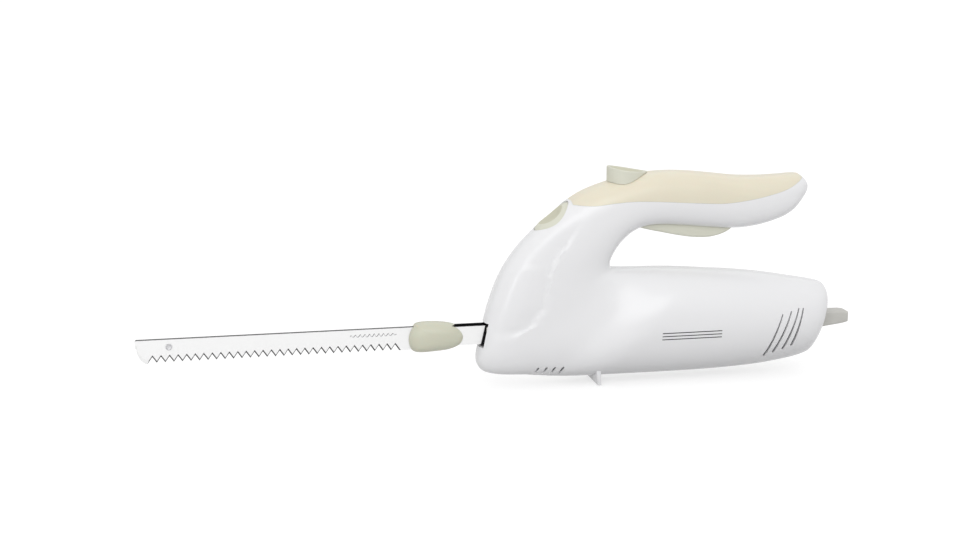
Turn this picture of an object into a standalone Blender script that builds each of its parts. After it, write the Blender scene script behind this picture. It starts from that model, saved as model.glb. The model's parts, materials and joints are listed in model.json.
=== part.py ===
"""Electric carving knife: an open-handled body with a barrel motor, and twin blades that slide side by side.

The frame is the knife's own: +X runs to the cord's end, +Z is up, and y = 0 is the plane on which the two
casing halves meet. The origin lies midway along the knife, level with the tip of its foot. The blades slide
along X. Every length below is in millimetres, and the mesh helpers turn it into metres.
"""
import math

import bmesh
import bpy
from mathutils import Matrix, Vector

MM = 0.001
TAU = 2 * math.pi

# Casing
WALL = 2.2                      # thickness of the casing halves and of the grip cover
SPLIT = 0.15                    # each half stops this far from the centre plane
LAND = 0.8                      # flat edge of each half beside the parting line
GAP = 0.3                       # clearance between pieces that touch on the real knife
BARREL_WIDTH = 26.0             # greatest half width of the barrel
BARREL_RISE = 62.0              # length over which the barrel swells out of the pillar
SHEET_POWER = 2.5               # squareness of the handle's and pillar's cross-section
BLEND_POWER = 8                 # how sharply the barrel meets the pillar
TAIL_SKEW = 1.8                 # moves the roundest point of the handle's tail upwards
REAR_SKEW = 0.52                # moves the roundest point of the barrel's rear face upwards

# Blades and their drive
BLADE_THICK = 1.2
BLADE_GAP = 0.6                 # between the two blades
BLADE_TIP = -244.1
BLADE_SPINE = 43.8
TOOTH_TIP = 28.3
TOOTH_DEPTH = 3.9
TOOTH_PITCH = 5.45
TOOTH_COUNT = 29
FIRST_TOOTH = -230.5
SHANK_LOW = 30.4
SHANK_HIGH = 43.2
SHANK_OFFSET = 2.9              # how far each shank stands out from its blade's plane
SHANK_END = -5.0
JOGGLE = (-60.0, -48.0)         # where the blade bends out to its shank, inside the collar
RIVET_X = -222.5
RIVET_Z = 38.6
STROKE = 8.0                    # travel of each blade, end to end

# Drive train
MOTOR_Z = 42.0
GEAR_X = 52.0
GEAR_TEETH = 26
GEAR_PITCH_RADIUS = 13.0
TOOTH_PITCH_GEAR = TAU * GEAR_PITCH_RADIUS / GEAR_TEETH
GEAR_TIP = 13.6
GEAR_ROOT = 12.2
GEAR_HALF = 2.5
WORM_TIP = 4.8
WORM_ROOT = 3.4
GEAR_Z = MOTOR_Z - (GEAR_TIP + WORM_TIP - 1.0)
ARM_IN = 5.2                    # inner face of each drive arm
ARM_OUT = 7.7
ARM_MID = (ARM_IN + ARM_OUT) / 2

# Controls
TRIGGER_PIVOT = (93.0, 114.0)
TRIGGER_HALF = 6.7
LOCK_FRONT = 69.6               # the lock's plan: an egg with a round front and a pointed rear
LOCK_REAR = 97.6
LOCK_HALF = 12.2
LOCK_TOP = (146.4, 143.3)       # height of its top at the front and at the rear
LOCK_SLOPE = math.radians(9)
LOCK_STEM_X = 80.0
SHOULDER = (31.6, 115.8)        # centre of the release button, on the casing's front shoulder
SHOULDER_SLOPE = math.radians(38)
RELEASE_HALF = 12.4             # half width of the release button
RELEASE_BEND = 3.8              # how far its sides bend down over the shoulder
LEVER_PIVOT = (24.0, 80.0)
FOOT_X = 61.5
FOOT_HALF = 18.0

# Ribs of the side outline, from the handle's tail round the nose to the barrel's rear. Each runs from a point
# on the outside of the outline to one on the finger-gap side, with the half width of the handle or pillar,
# how far the rib bulges to the rear, and how full its section is (0 on the two end faces).
RIBS = [
    ((204.5, 138.6), (202.5, 115.2), 13.0, 7.0, 0.0),
    ((203.8, 138.7), (202.0, 114.8), 13.0, 6.4, 0.5),
    ((202.0, 138.8), (200.5, 113.8), 13.2, 5.2, 0.76),
    ((198.0, 138.7), (197.0, 111.7), 13.6, 3.0, 0.94),
    ((190.0, 138.2), (190.0, 108.4), 14.2, 0.4, 1.0),
    ((175.0, 137.9), (175.0, 104.3), 15.0, 0.0, 1.0),
    ((158.0, 138.7), (158.0, 102.8), 15.6, 0.0, 1.0),
    ((140.0, 140.9), (140.0, 104.2), 16.0, 0.0, 1.0),
    ((121.0, 142.8), (121.0, 106.2), 16.2, 0.0, 1.0),
    ((102.0, 142.9), (105.0, 107.2), 16.4, 0.0, 1.0),
    ((84.0, 140.3), (94.0, 106.3), 16.8, 0.0, 1.0),
    ((66.0, 135.8), (85.5, 102.6), 17.2, 0.0, 1.0),
    ((50.0, 129.5), (79.2, 97.2), 17.6, 0.0, 1.0),
    ((34.5, 119.0), (75.5, 92.4), 17.8, 0.0, 1.0),
    ((20.0, 106.4), (72.8, 87.8), 18.0, 0.0, 1.0),
    ((7.0, 93.0), (71.4, 84.0), 18.0, 0.0, 1.0),
    ((-3.5, 77.5), (71.3, 81.0), 17.8, 0.0, 1.0),
    ((-10.8, 60.0), (72.4, 78.9), 17.6, 0.0, 1.0),
    ((-15.2, 44.5), (75.0, 78.1), 17.4, 0.0, 1.0),
    ((-18.4, 30.5), (79.0, 77.9), 17.2, 0.0, 1.0),
    ((-20.2, 19.5), (84.0, 77.8), 17.0, 0.0, 1.0),
    ((-16.8, 12.0), (89.5, 77.6), 17.0, 0.0, 1.0),
    ((-6.0, 8.7), (95.5, 77.4), 17.2, 0.0, 1.0),
    ((13.0, 7.4), (102.5, 77.1), 17.6, 0.0, 1.0),
    ((38.0, 5.9), (111.0, 76.7), 18.0, 0.0, 1.0),
    ((63.0, 5.0), (121.0, 76.1), 18.4, 0.0, 1.0),
    ((87.0, 4.5), (132.0, 75.4), 18.6, 0.0, 1.0),
    ((111.0, 4.4), (144.0, 74.5), 18.6, 0.0, 1.0),
    ((135.0, 4.5), (157.0, 73.4), 18.6, 0.0, 1.0),
    ((157.0, 5.1), (171.0, 71.8), 18.4, 0.0, 1.0),
    ((177.0, 6.3), (186.0, 69.6), 18.0, 0.0, 1.0),
    ((194.0, 8.4), (201.0, 66.8), 17.4, 0.5, 1.0),
    ((206.0, 10.6), (212.5, 64.6), 17.0, 2.4, 0.96),
    ((212.0, 12.4), (218.0, 63.4), 16.8, 4.8, 0.84),
    ((214.6, 13.4), (220.6, 62.8), 16.6, 6.6, 0.6),
    ((215.6, 14.0), (221.8, 62.4), 16.6, 7.6, 0.0),
]
REAR_FROM = 26                  # ribs from here on belong to the barrel's rear
COVER_RIBS = 13                 # the grip cover lies over the ribs up to this one

# Lower edge of the grip cover on the sides of the handle, front to rear
COVER_EDGE = [(43.5, 123.6), (57.0, 123.2), (70.0, 124.6), (83.0, 125.4), (100.0, 124.8),
              (131.0, 122.6), (148.0, 121.9), (165.0, 123.5), (179.0, 126.0), (193.0, 129.9), (206.0, 136.7),
              (209.0, 150.0), (43.5, 150.0)]

SCREW_PLACES = [(190.0, 121.0), (60.0, 108.0), (-6.0, 17.5), (84.0, 16.0), (92.0, 68.0), (203.0, 55.0)]


# ---------------------------------------------------------------- scene and materials

def clear_scene():
    for obj in list(bpy.data.objects):
        bpy.data.objects.remove(obj, do_unlink=True)


def collection(name):
    group = bpy.data.collections.new(name)
    bpy.context.scene.collection.children.link(group)
    return group


def material(name, colour, roughness, metallic=0.0):
    mat = bpy.data.materials.new(name)
    mat.use_nodes = True
    shader = mat.node_tree.nodes["Principled BSDF"]
    shader.inputs["Base Color"].default_value = (*colour, 1.0)
    shader.inputs["Roughness"].default_value = roughness
    shader.inputs["Metallic"].default_value = metallic
    mat.diffuse_color = (*colour, 1.0)
    return mat


clear_scene()
PARTS = collection("electric_knife")
CUTTERS = collection("cutters")

WHITE = material("casing_white", (0.80, 0.80, 0.81), 0.25)
CREAM = material("cream_plastic", (0.72, 0.67, 0.55), 0.45)
COLLAR_CREAM = material("collar_cream", (0.62, 0.62, 0.50), 0.45)
STEEL = material("blade_steel", (0.78, 0.78, 0.78), 0.25, 1.0)
ZINC = material("zinc_steel", (0.55, 0.55, 0.56), 0.4, 1.0)
IRON = material("lamination_iron", (0.30, 0.30, 0.32), 0.5, 1.0)
COPPER = material("copper", (0.72, 0.35, 0.18), 0.35, 1.0)
BRONZE = material("bronze", (0.62, 0.44, 0.22), 0.4, 1.0)
NYLON = material("nylon", (0.75, 0.74, 0.68), 0.5)
BLACK = material("black_plastic", (0.03, 0.03, 0.03), 0.5)
CARBON = material("carbon", (0.05, 0.05, 0.05), 0.7)
GREY = material("grey_pvc", (0.55, 0.54, 0.50), 0.6)


# ---------------------------------------------------------------- mesh helpers

def metres(point):
    return Vector(point) * MM


def add_object(name, data, mat, owner=None, group=None):
    """Link an object whose mesh is already in the knife's frame, and hang it on its joint's empty."""
    obj = bpy.data.objects.new(name, data)
    (group or PARTS).objects.link(obj)
    if mat and not data.materials:
        data.materials.append(mat)
    if owner:
        obj.parent = owner
        obj.matrix_parent_inverse = Matrix.Translation(-owner.location)
    return obj


def joint_empty(name, place):
    empty = bpy.data.objects.new(name, None)
    PARTS.objects.link(empty)
    empty.location = metres(place)
    empty.empty_display_size = 10 * MM
    return empty


def finish_mesh(name, bm, smooth=True):
    data = bpy.data.meshes.new(name)
    bm.to_mesh(data)
    bm.free()
    if smooth:
        data.shade_smooth()
        data.set_sharp_from_angle(angle=math.radians(35))
    return data


def bevel(obj, width, segments=1, angle=40):
    mod = obj.modifiers.new("rounded_edges", "BEVEL")
    mod.width = width * MM
    mod.segments = segments
    mod.limit_method = "ANGLE"
    mod.angle_limit = math.radians(angle)
    return obj


def boolean(target, tool, operation="DIFFERENCE"):
    mod = target.modifiers.new(tool.name, "BOOLEAN")
    mod.operation = operation
    mod.object = tool
    mod.solver = "EXACT"


def block_mesh(name, low, high):
    bm = bmesh.new()
    centre = (metres(low) + metres(high)) / 2
    size = metres(high) - metres(low)
    bmesh.ops.create_cube(bm, size=1.0, matrix=Matrix.Translation(centre) @ Matrix.Diagonal((*size, 1.0)))
    return finish_mesh(name, bm, smooth=False)


def block(name, low, high, mat, owner=None, edge=0.0):
    obj = add_object(name, block_mesh(name, low, high), mat, owner)
    return bevel(obj, edge) if edge else obj


AXIS_TURN = {"X": Matrix.Rotation(math.pi / 2, 4, "Y"), "Y": Matrix.Rotation(-math.pi / 2, 4, "X"),
             "Z": Matrix.Identity(4)}


def rod_mesh(name, axis, start, length, radius, sides=16, end_radius=None):
    """A cylinder or cone from start along the positive axis."""
    bm = bmesh.new()
    place = Matrix.Translation(metres(start)) @ AXIS_TURN[axis] @ Matrix.Translation((0, 0, length * MM / 2))
    top = radius if end_radius is None else end_radius
    bmesh.ops.create_cone(bm, cap_ends=True, segments=sides, radius1=radius * MM, radius2=top * MM,
                          depth=length * MM, matrix=place)
    return finish_mesh(name, bm)


def rod(name, axis, start, length, radius, mat, owner=None, sides=16):
    return add_object(name, rod_mesh(name, axis, start, length, radius, sides), mat, owner)


def turned(name, axis, start, profile, mat, owner=None, sides=20):
    """A solid of revolution: profile holds (distance along the axis, radius), first and last on the axis
    or, for a ring, a closed outline."""
    bm = bmesh.new()
    place = Matrix.Translation(metres(start)) @ AXIS_TURN[axis]
    edge = [bm.verts.new(place @ Vector((radius * MM, 0, along * MM))) for along, radius in profile]
    ring = profile[0][1] > 0
    pairs = list(zip(edge, edge[1:])) + ([(edge[-1], edge[0])] if ring else [])
    lines = [bm.edges.new(pair) for pair in pairs]
    direction = (AXIS_TURN[axis] @ Vector((0, 0, 1))).normalized()
    bmesh.ops.spin(bm, geom=edge + lines, cent=metres(start), axis=direction, angle=TAU, steps=sides,
                   use_merge=True)
    bmesh.ops.remove_doubles(bm, verts=bm.verts, dist=0.00001)
    bmesh.ops.recalc_face_normals(bm, faces=bm.faces)
    return add_object(name, finish_mesh(name, bm), mat, owner)


def outline_mesh(name, outline, near, far):
    """A flat plate in the XZ plane: a filled 2D curve, thick from y = near to y = far, made a mesh."""
    curve = bpy.data.curves.new(name, "CURVE")
    curve.dimensions = "2D"
    curve.fill_mode = "BOTH"
    curve.extrude = (far - near) * MM / 2
    spline = curve.splines.new("POLY")
    spline.points.add(len(outline) - 1)
    for point, (x, z) in zip(spline.points, outline):
        point.co = (x * MM, z * MM, 0, 1)
    spline.use_cyclic_u = True
    guide = bpy.data.objects.new(name + "_curve", curve)
    bpy.context.scene.collection.objects.link(guide)
    guide.matrix_world = Matrix.Translation((0, (near + far) * MM / 2, 0)) @ Matrix.Rotation(math.pi / 2, 4, "X")
    bpy.context.view_layer.update()
    seen = guide.evaluated_get(bpy.context.evaluated_depsgraph_get())
    data = bpy.data.meshes.new_from_object(seen)
    bm = bmesh.new()
    bm.from_mesh(data)
    bm.transform(guide.matrix_world)
    bmesh.ops.remove_doubles(bm, verts=bm.verts, dist=0.000001)
    bmesh.ops.recalc_face_normals(bm, faces=bm.faces)
    bpy.data.objects.remove(guide, do_unlink=True)
    return finish_mesh(name, bm)


def plate(name, outline, near, far, mat, owner=None, edge=0.0):
    obj = add_object(name, outline_mesh(name, outline, near, far), mat, owner)
    return bevel(obj, edge) if edge else obj


def cutter(name, data):
    obj = add_object(name, data, None, group=CUTTERS)
    obj.hide_render = True
    obj.display_type = "WIRE"
    return obj


def cut_block(target, name, low, high):
    boolean(target, cutter(name, block_mesh(name, low, high)))


def oval(centre, half_long, half_wide, count, turn=0.0):
    points = []
    for step in range(count):
        angle = TAU * step / count
        along, across = half_long * math.cos(angle), half_wide * math.sin(angle)
        points.append((centre[0] + along * math.cos(turn) - across * math.sin(turn),
                       centre[1] + along * math.sin(turn) + across * math.cos(turn)))
    return points


def rounded_box(low, high, radius, steps=3):
    """A rounded rectangle in the XZ plane."""
    corners = [(high[0] - radius, high[1] - radius, 0), (low[0] + radius, high[1] - radius, 1),
               (low[0] + radius, low[1] + radius, 2), (high[0] - radius, low[1] + radius, 3)]
    points = []
    for x, z, quarter in corners:
        for step in range(steps + 1):
            angle = (quarter + step / steps) * math.pi / 2
            points.append((x + radius * math.cos(angle), z + radius * math.sin(angle)))
    return points


def curve_wire(name, points, radius, mat, owner=None):
    """A lead or a spring: a POLY curve with a round bevel, smoothed between its own points."""
    curve = bpy.data.curves.new(name, "CURVE")
    curve.dimensions = "3D"
    curve.bevel_depth = radius * MM
    curve.bevel_resolution = 1
    curve.use_fill_caps = True
    spline = curve.splines.new("POLY")
    spline.points.add(len(points) - 1)
    for spline_point, point in zip(spline.points, points):
        spline_point.co = (*metres(point), 1)
    return add_object(name, curve, mat, owner)


# ---------------------------------------------------------------- casing surface

def blended(rows, place):
    """Catmull-Rom value of the rows at a fractional place."""
    index = min(int(place), len(rows) - 2)
    part = place - index
    a, b, c, d = (rows[min(max(index + step, 0), len(rows) - 1)] for step in (-1, 0, 1, 2))
    return [0.5 * (2 * q + (r - p) * part + (2 * p - 5 * q + 4 * r - s) * part ** 2
                   + (3 * q - p - 3 * r + s) * part ** 3) for p, q, r, s in zip(a, b, c, d)]


def barrel_half_width(x, z):
    top = 77.9 - 15.5 * max(0.0, (x - 90) / 131) ** 1.7
    low = 4.4 + 8.0 * max(0.0, (x - 120) / 92) ** 2.2
    level = (2 * z - top - low) / (top - low)
    front = 4.0 + 62.0 * max(0.0, (z - 8) / 70) ** 0.9
    swell = min(max((x - front) / BARREL_RISE, 0.0), 1.0)
    narrowing = 1 - 0.16 * max(0.0, (x - 130) / 98) ** 2
    return BARREL_WIDTH * math.sin(swell * math.pi / 2) * narrowing * math.sqrt(max(0.0, 1 - level ** 2))


def casing_point(place, across):
    """A point of the left flank: place counts ribs, across runs from the finger gap (0) to the outside (1)."""
    rows = [(*outer, *inner, half, bulge, full) for outer, inner, half, bulge, full in RIBS]
    outer_x, outer_z, inner_x, inner_z, half, bulge, full = blended(rows, place)
    share = (1 - math.cos(math.pi * across)) / 2
    skew = REAR_SKEW if place > REAR_FROM else TAIL_SKEW
    x = inner_x + (outer_x - inner_x) * share + bulge * math.sin(math.pi * share ** skew)
    z = inner_z + (outer_z - inner_z) * share
    sheet = half * max(0.0, 1 - abs(2 * share - 1) ** SHEET_POWER) ** (1 / SHEET_POWER)
    width = (sheet ** BLEND_POWER + barrel_half_width(x, z) ** BLEND_POWER) ** (1 / BLEND_POWER)
    return x, width * min(max(full, 0.0), 1.0), z


def flank_mesh(name, side, first, last, per_rib, steps, split):
    """The open skin of one side of the casing, with a narrow land beside the parting plane."""
    bm = bmesh.new()
    count = (last - first) * per_rib
    grid = []
    for i in range(-1, count + 2):
        place = first + min(max(i, 0), count) / per_rib
        line = []
        for j in range(-1, steps + 2):
            x, width, z = casing_point(place, min(max(j, 0), steps) / steps)
            edge = j in (-1, steps + 1) or (i == -1 and first == 0) or (i == count + 1 and last == len(RIBS) - 1)
            y = split if edge else split + LAND + width
            line.append(bm.verts.new(metres((x, side * y, z))))
        grid.append(line)
    for near, far in zip(grid, grid[1:]):
        for j in range(len(near) - 1):
            loop = (near[j], far[j], far[j + 1], near[j + 1])
            bm.faces.new(loop if side > 0 else loop[::-1])
    bmesh.ops.remove_doubles(bm, verts=bm.verts, dist=0.00001)
    return finish_mesh(name, bm)


def wall_of(x, z):
    """Half width of the casing at a point of the side view, found on the nearest of the skin's points."""
    best = min((casing_point(i / 2, j / 16) for i in range(2 * len(RIBS) - 1) for j in range(17)),
               key=lambda point: math.hypot(point[0] - x, point[2] - z))
    return best[1] + SPLIT + LAND


def solidify(obj):
    mod = obj.modifiers.new("wall", "SOLIDIFY")
    mod.thickness = WALL * MM
    mod.offset = -1
    mod.use_even_offset = True
    return obj


def cover_prism(name, grow):
    """The space above the grip cover's lower edge, taken through the whole handle."""
    front, rear = COVER_EDGE[0][0], COVER_EDGE[-3][0]
    outline = [(x - grow * (x <= front) + grow * (x >= rear), z - grow) for x, z in COVER_EDGE]
    return cutter(name, outline_mesh(name, outline, -40, 40))


def slanted_slot(name, bottom, top, width_low, width_high, near, far):
    """A tapering vent through the flank, between two points of the side view."""
    run = Vector((top[0] - bottom[0], top[1] - bottom[1])).normalized()
    over = Vector((run.y, -run.x))
    outline = []
    for point, width, sign in ((bottom, width_low, 1), (top, width_high, 1), (top, width_high, -1),
                               (bottom, width_low, -1)):
        outline.append((point[0] + over.x * width * sign / 2, point[1] + over.y * width * sign / 2))
    return cutter(name, outline_mesh(name, outline, near, far))


REAR_VENTS = [((177.7, 16.0), (187.8, 45.3)), ((183.7, 18.4), (194.3, 46.8)), ((190.4, 20.6), (200.0, 48.6)),
              ((196.4, 23.0), (203.4, 48.4))]
FRONT_VENTS = [16.8, 22.5, 28.2, 33.9]


def casing_half(name, side):
    label = "left" if side < 0 else "right"
    obj = add_object(name, flank_mesh(name, side, 0, len(RIBS) - 1, 1, 9, SPLIT), WHITE)
    solidify(obj)
    boolean(obj, cover_prism(label + "_cover_room", 0.0))
    for index, (x, z) in enumerate(SCREW_PLACES):
        post_end = min(wall_of(x + dx, z + dz) for dx, dz in ((4, 0), (-4, 0), (0, 4), (0, -4))) - 1.2
        start = -post_end if side < 0 else SPLIT + GAP
        post = cutter(f"{label}_post_{index}",
                      rod_mesh("post", "Y", (x, start, z), post_end - SPLIT - GAP, 4.2, 12))
        boolean(obj, post, "UNION")
    for index, (x, z) in enumerate(SCREW_PLACES):
        if side < 0:
            hole = rod_mesh("pilot", "Y", (x, -9.0, z), 12.0, 1.8, 12)
        else:
            hole = rod_mesh("clearance", "Y", (x, -1.0, z), 40.0, 1.9, 12)
            head = cutter(f"head_room_{index}", rod_mesh("head_room", "Y", (x, 9.0, z), 30.0, 3.5, 16))
            boolean(obj, head)
        boolean(obj, cutter(f"{label}_screw_hole_{index}", hole))
    nose_low, nose_high = (-30.0, -8.1, SHANK_LOW - 2.0), (2.0, 8.1, SHANK_HIGH + 1.6)
    cut_block(obj, label + "_blade_slot", nose_low, nose_high)
    cut_block(obj, label + "_trigger_slot", (87.0, -TRIGGER_HALF - 0.5, 94.0), (161.0, TRIGGER_HALF + 0.5, 113.0))
    cut_block(obj, label + "_cord_slot", (216.0, -6.9, 28.6), (240.0, 6.9, 42.2))
    shoulder = outline_mesh("shoulder_room", oval((0, 0), 15.2, 13.2, 28), -13, 8)
    shoulder.transform(Matrix.Translation(metres((SHOULDER[0], 0, SHOULDER[1])))
                       @ Matrix.Rotation(-SHOULDER_SLOPE, 4, "Y") @ Matrix.Rotation(math.pi / 2, 4, "X"))
    boolean(obj, cutter(label + "_shoulder_room", shoulder))
    for index, (bottom, top) in enumerate(REAR_VENTS):
        near, far = (-34, -9) if side < 0 else (9, 34)
        boolean(obj, slanted_slot(f"{label}_rear_vent_{index}", bottom, top, 1.9, 0.9, near, far))
    for index, x in enumerate(FRONT_VENTS):
        near, far = (-30, -9) if side < 0 else (9, 30)
        boolean(obj, slanted_slot(f"{label}_front_vent_{index}", (x, 8.0), (x + 3.0, 13.6), 1.5, 1.5, near, far))
    foot = foot_mesh(label + "_foot", side)
    boolean(obj, cutter(label + "_foot", foot), "UNION")


def foot_mesh(name, side):
    """The half of the foot on one side: a cross plate that leans back, with a web in front of it."""
    low, high = sorted((side * SPLIT, side * FOOT_HALF))
    outline = [(FOOT_X - 1.3, 0.0), (FOOT_X + 1.5, 0.0), (FOOT_X + 2.6, 7.4), (FOOT_X - 3.4, 7.4)]
    return outline_mesh(name, outline, low, high)


def grip_cover():
    obj = add_object("grip_cover", flank_mesh("grip_cover", 1, 0, COVER_RIBS, 1, 9, 0.0), CREAM)
    mirror = obj.modifiers.new("far_side", "MIRROR")
    mirror.use_axis = (False, True, False)
    mirror.merge_threshold = 0.0001
    solidify(obj)
    boolean(obj, cover_prism("cover_shape", -GAP), "INTERSECT")
    cut_block(obj, "lock_slot", (LOCK_STEM_X - 8.0, -2.8, 120.0), (LOCK_STEM_X + 3.6, 2.8, 150.0))


def casing_screws():
    for index, (x, z) in enumerate(SCREW_PLACES):
        seat = 9.0 + GAP
        profile = [(-7.0 - seat, 0), (-6.0 - seat, 1.0), (-5.0 - seat, 1.5), (0.0, 1.5), (0.0, 3.1), (1.6, 3.1),
                   (2.3, 2.2), (2.3, 0)]
        turned(f"casing_screw_{index + 1}", "Y", (x, seat, z), profile, ZINC, sides=12)


def strain_relief():
    """The grey stub that leads the cord out of the barrel, with a flat passage through it."""
    bm = bmesh.new()
    place = Matrix.Translation(metres((230.05, 0, 36.0))) @ Matrix.Diagonal((28.1 * MM, 13.0 * MM, 12.4 * MM, 1))
    bmesh.ops.create_cube(bm, size=1.0, matrix=place)
    for vert in bm.verts:
        high = vert.co.z > 36.0 * MM
        end = vert.co.x > 230.0 * MM
        vert.co.z = (41.4 if high else 29.4) * MM if not end else (40.8 if high else 32.8) * MM
    obj = add_object("strain_relief", finish_mesh("strain_relief", bm, smooth=False), GREY)
    flange = cutter("relief_flange", block_mesh("relief_flange", (211.5, -9.0, 27.4), (217.4, 9.0, 43.2)))
    boolean(obj, flange, "UNION")
    bevel(obj, 0.7)
    passage = cutter("cord_passage", block_mesh("cord_passage", (200.0, -2.9, 34.9), (260.0, 2.9, 38.7)))
    boolean(obj, passage)


# ---------------------------------------------------------------- blades

def blade_stations():
    """Places along the blade with the height of its lower and upper edge, tip to shank."""
    spine, low = BLADE_SPINE, 26.9
    drop = spine - low
    rows = [(BLADE_TIP, spine - 3.4, spine - 1.4), (BLADE_TIP + 0.5, spine - 5.6, spine - 0.4)]
    for step in range(1, 7):
        angle = math.pi / 2 * step / 7
        rows.append((BLADE_TIP + 1.0 + 11.0 * (1 - math.cos(angle)), spine - 5.6 - (drop - 5.6) * math.sin(angle),
                     spine))
    for tooth in range(TOOTH_COUNT):
        x = FIRST_TOOTH + tooth * TOOTH_PITCH
        rows.append((x, TOOTH_TIP, spine))
        rows.append((x + TOOTH_PITCH / 2, TOOTH_TIP + TOOTH_DEPTH, spine))
    last = FIRST_TOOTH + (TOOTH_COUNT - 1) * TOOTH_PITCH
    rows[-1:] = [(last + 2.0, TOOTH_TIP, spine), (-66.0, TOOTH_TIP, spine), (JOGGLE[0], TOOTH_TIP + 1.0, spine)]
    for x in (JOGGLE[0] + 3, (JOGGLE[0] + JOGGLE[1]) / 2, JOGGLE[1] - 3, JOGGLE[1]):
        rows.append((x, SHANK_LOW, SHANK_HIGH))
    rows.append((SHANK_END - 2.0, SHANK_LOW, SHANK_HIGH))
    rows.append((SHANK_END, SHANK_LOW + 2.0, SHANK_HIGH - 2.0))
    return rows


def blade_mesh(name, side):
    bm = bmesh.new()
    sections = []
    for x, low, high in blade_stations():
        bend = min(max((x - JOGGLE[0]) / (JOGGLE[1] - JOGGLE[0]), 0.0), 1.0)
        inner = BLADE_GAP / 2 + SHANK_OFFSET * bend * bend * (3 - 2 * bend)
        sections.append([bm.verts.new(metres((x, side * y, z)))
                         for y, z in ((inner, low), (inner + BLADE_THICK, low), (inner + BLADE_THICK, high),
                                      (inner, high))])
    for near, far in zip(sections, sections[1:]):
        for j in range(4):
            bm.faces.new((near[j], near[(j + 1) % 4], far[(j + 1) % 4], far[j]))
    bm.faces.new(sections[0])
    bm.faces.new(sections[-1])
    bmesh.ops.recalc_face_normals(bm, faces=bm.faces)
    return finish_mesh(name, bm, smooth=False)


COLLAR = [(-63.0, 43.8), (-60.0, 46.2), (-50.0, 46.6), (-39.0, 45.3), (-33.0, 43.0), (-29.6, 39.4), (-28.4, 36.0),
          (-29.8, 32.0), (-33.6, 29.2), (-40.5, 27.4), (-50.0, 26.6), (-59.0, 26.4), (-63.6, 27.8),
          (-65.8, 31.5), (-66.2, 36.5), (-65.2, 40.5)]


def blade_assembly(side, owner):
    label = "left" if side < 0 else "right"
    blade = add_object(label + "_blade", blade_mesh(label + "_blade", side), STEEL, owner)
    low, high = (RIVET_X, RIVET_X)
    if side > 0:
        low, high = RIVET_X - STROKE - 1.0, RIVET_X + STROKE + 1.0
    radius = 1.9
    room = rounded_box((low - radius, RIVET_Z - radius), (high + radius, RIVET_Z + radius), radius - 0.01, 4)
    boolean(blade, cutter(label + "_rivet_room", outline_mesh(label + "_rivet_room", room, -4, 4)))
    faces = (-9.0, -GAP) if side < 0 else (GAP, 9.0)
    collar = plate(label + "_collar", COLLAR, *faces, COLLAR_CREAM, owner)
    bevel(collar, 2.6, 2, 60)
    room = cutter(label + "_tang_room", tang_room(label, side))
    boolean(collar, room)


def tang_room(label, side):
    """The space in a collar half for its blade's bent tang, open on the inner face."""
    low, high = sorted((side * -2.0, side * (BLADE_GAP / 2 + SHANK_OFFSET + BLADE_THICK + GAP)))
    return block_mesh(label + "_tang_room", (-80.0, low, TOOTH_TIP - GAP), (-10.0, high, BLADE_SPINE + GAP))


def rivet(owner):
    """Holds the far blade's slot against the near blade."""
    y = BLADE_GAP / 2 + BLADE_THICK
    profile = [(-y - 0.9, 0), (-y - 0.9, 1.6), (-y - GAP, 2.4), (-y - GAP, 1.5), (y + GAP, 1.5), (y + GAP, 2.4),
               (y + 0.9, 1.6), (y + 0.9, 0)]
    turned("blade_rivet", "Y", (RIVET_X, 0, RIVET_Z), profile, ZINC, owner, 14)


# ---------------------------------------------------------------- drive

def worm_mesh(name, start, end):
    """A screw thread as ridges on a cylinder, with a groove over the gear's top tooth."""
    sides, per_turn = 12, 6
    rings = int((end - start) / TOOTH_PITCH_GEAR * per_turn)
    bm = bmesh.new()
    grid = []
    for i in range(rings + 1):
        x = GEAR_X + (i - rings // 2) * TOOTH_PITCH_GEAR / per_turn
        ring = []
        for k in range(sides):
            angle = TAU * k / sides - math.pi / 2
            phase = ((x - GEAR_X) / TOOTH_PITCH_GEAR - k / sides) % 1.0
            crest = max(0.0, 1 - max(0.0, abs(phase - 0.5) - 0.1) / 0.14)
            radius = WORM_ROOT if i in (0, rings) else WORM_ROOT + (WORM_TIP - WORM_ROOT) * crest
            ring.append(bm.verts.new(metres((x, radius * math.cos(angle), MOTOR_Z + radius * math.sin(angle)))))
        grid.append(ring)
    for near, far in zip(grid, grid[1:]):
        for k in range(sides):
            bm.faces.new((near[k], near[(k + 1) % sides], far[(k + 1) % sides], far[k]))
    bm.faces.new(grid[0])
    bm.faces.new(grid[-1])
    bmesh.ops.recalc_face_normals(bm, faces=bm.faces)
    return finish_mesh(name, bm)


def rotor(owner):
    turned("motor_shaft", "X", (36.5, 0, MOTOR_Z), [(0, 0), (0, 2.0), (35.5, 2.0), (35.5, 2.5),
                                                    (152.6, 2.5), (152.6, 0)], ZINC, owner, 16)
    worm = add_object("worm", worm_mesh("worm", 43.0, 61.0), ZINC, owner)
    bore = cutter("worm_bore", rod_mesh("worm_bore", "X", (30, 0, MOTOR_Z), 40, 2.0 + GAP, 12))
    boolean(worm, bore)
    ring = 2.5 + GAP
    turned("armature_core", "X", (133.0, 0, MOTOR_Z), [(0, ring), (0, 13.2), (30, 13.2), (30, ring)], IRON,
           owner, 18)
    for label, x in (("front", 125.6), ("rear", 163.4)):
        turned(label + "_winding_head", "X", (x, 0, MOTOR_Z),
               [(0.4, ring + 1.2), (0, 6.0), (1.0, 10.6), (6.0, 11.6), (7.0, 8.0), (7.0, ring + 1.2)], COPPER,
               owner, 14)
    turned("commutator", "X", (171.4, 0, MOTOR_Z), [(0, ring), (0, 7.6), (10, 7.6), (10, ring)], COPPER,
           owner, 16)
    fan(owner)


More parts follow.
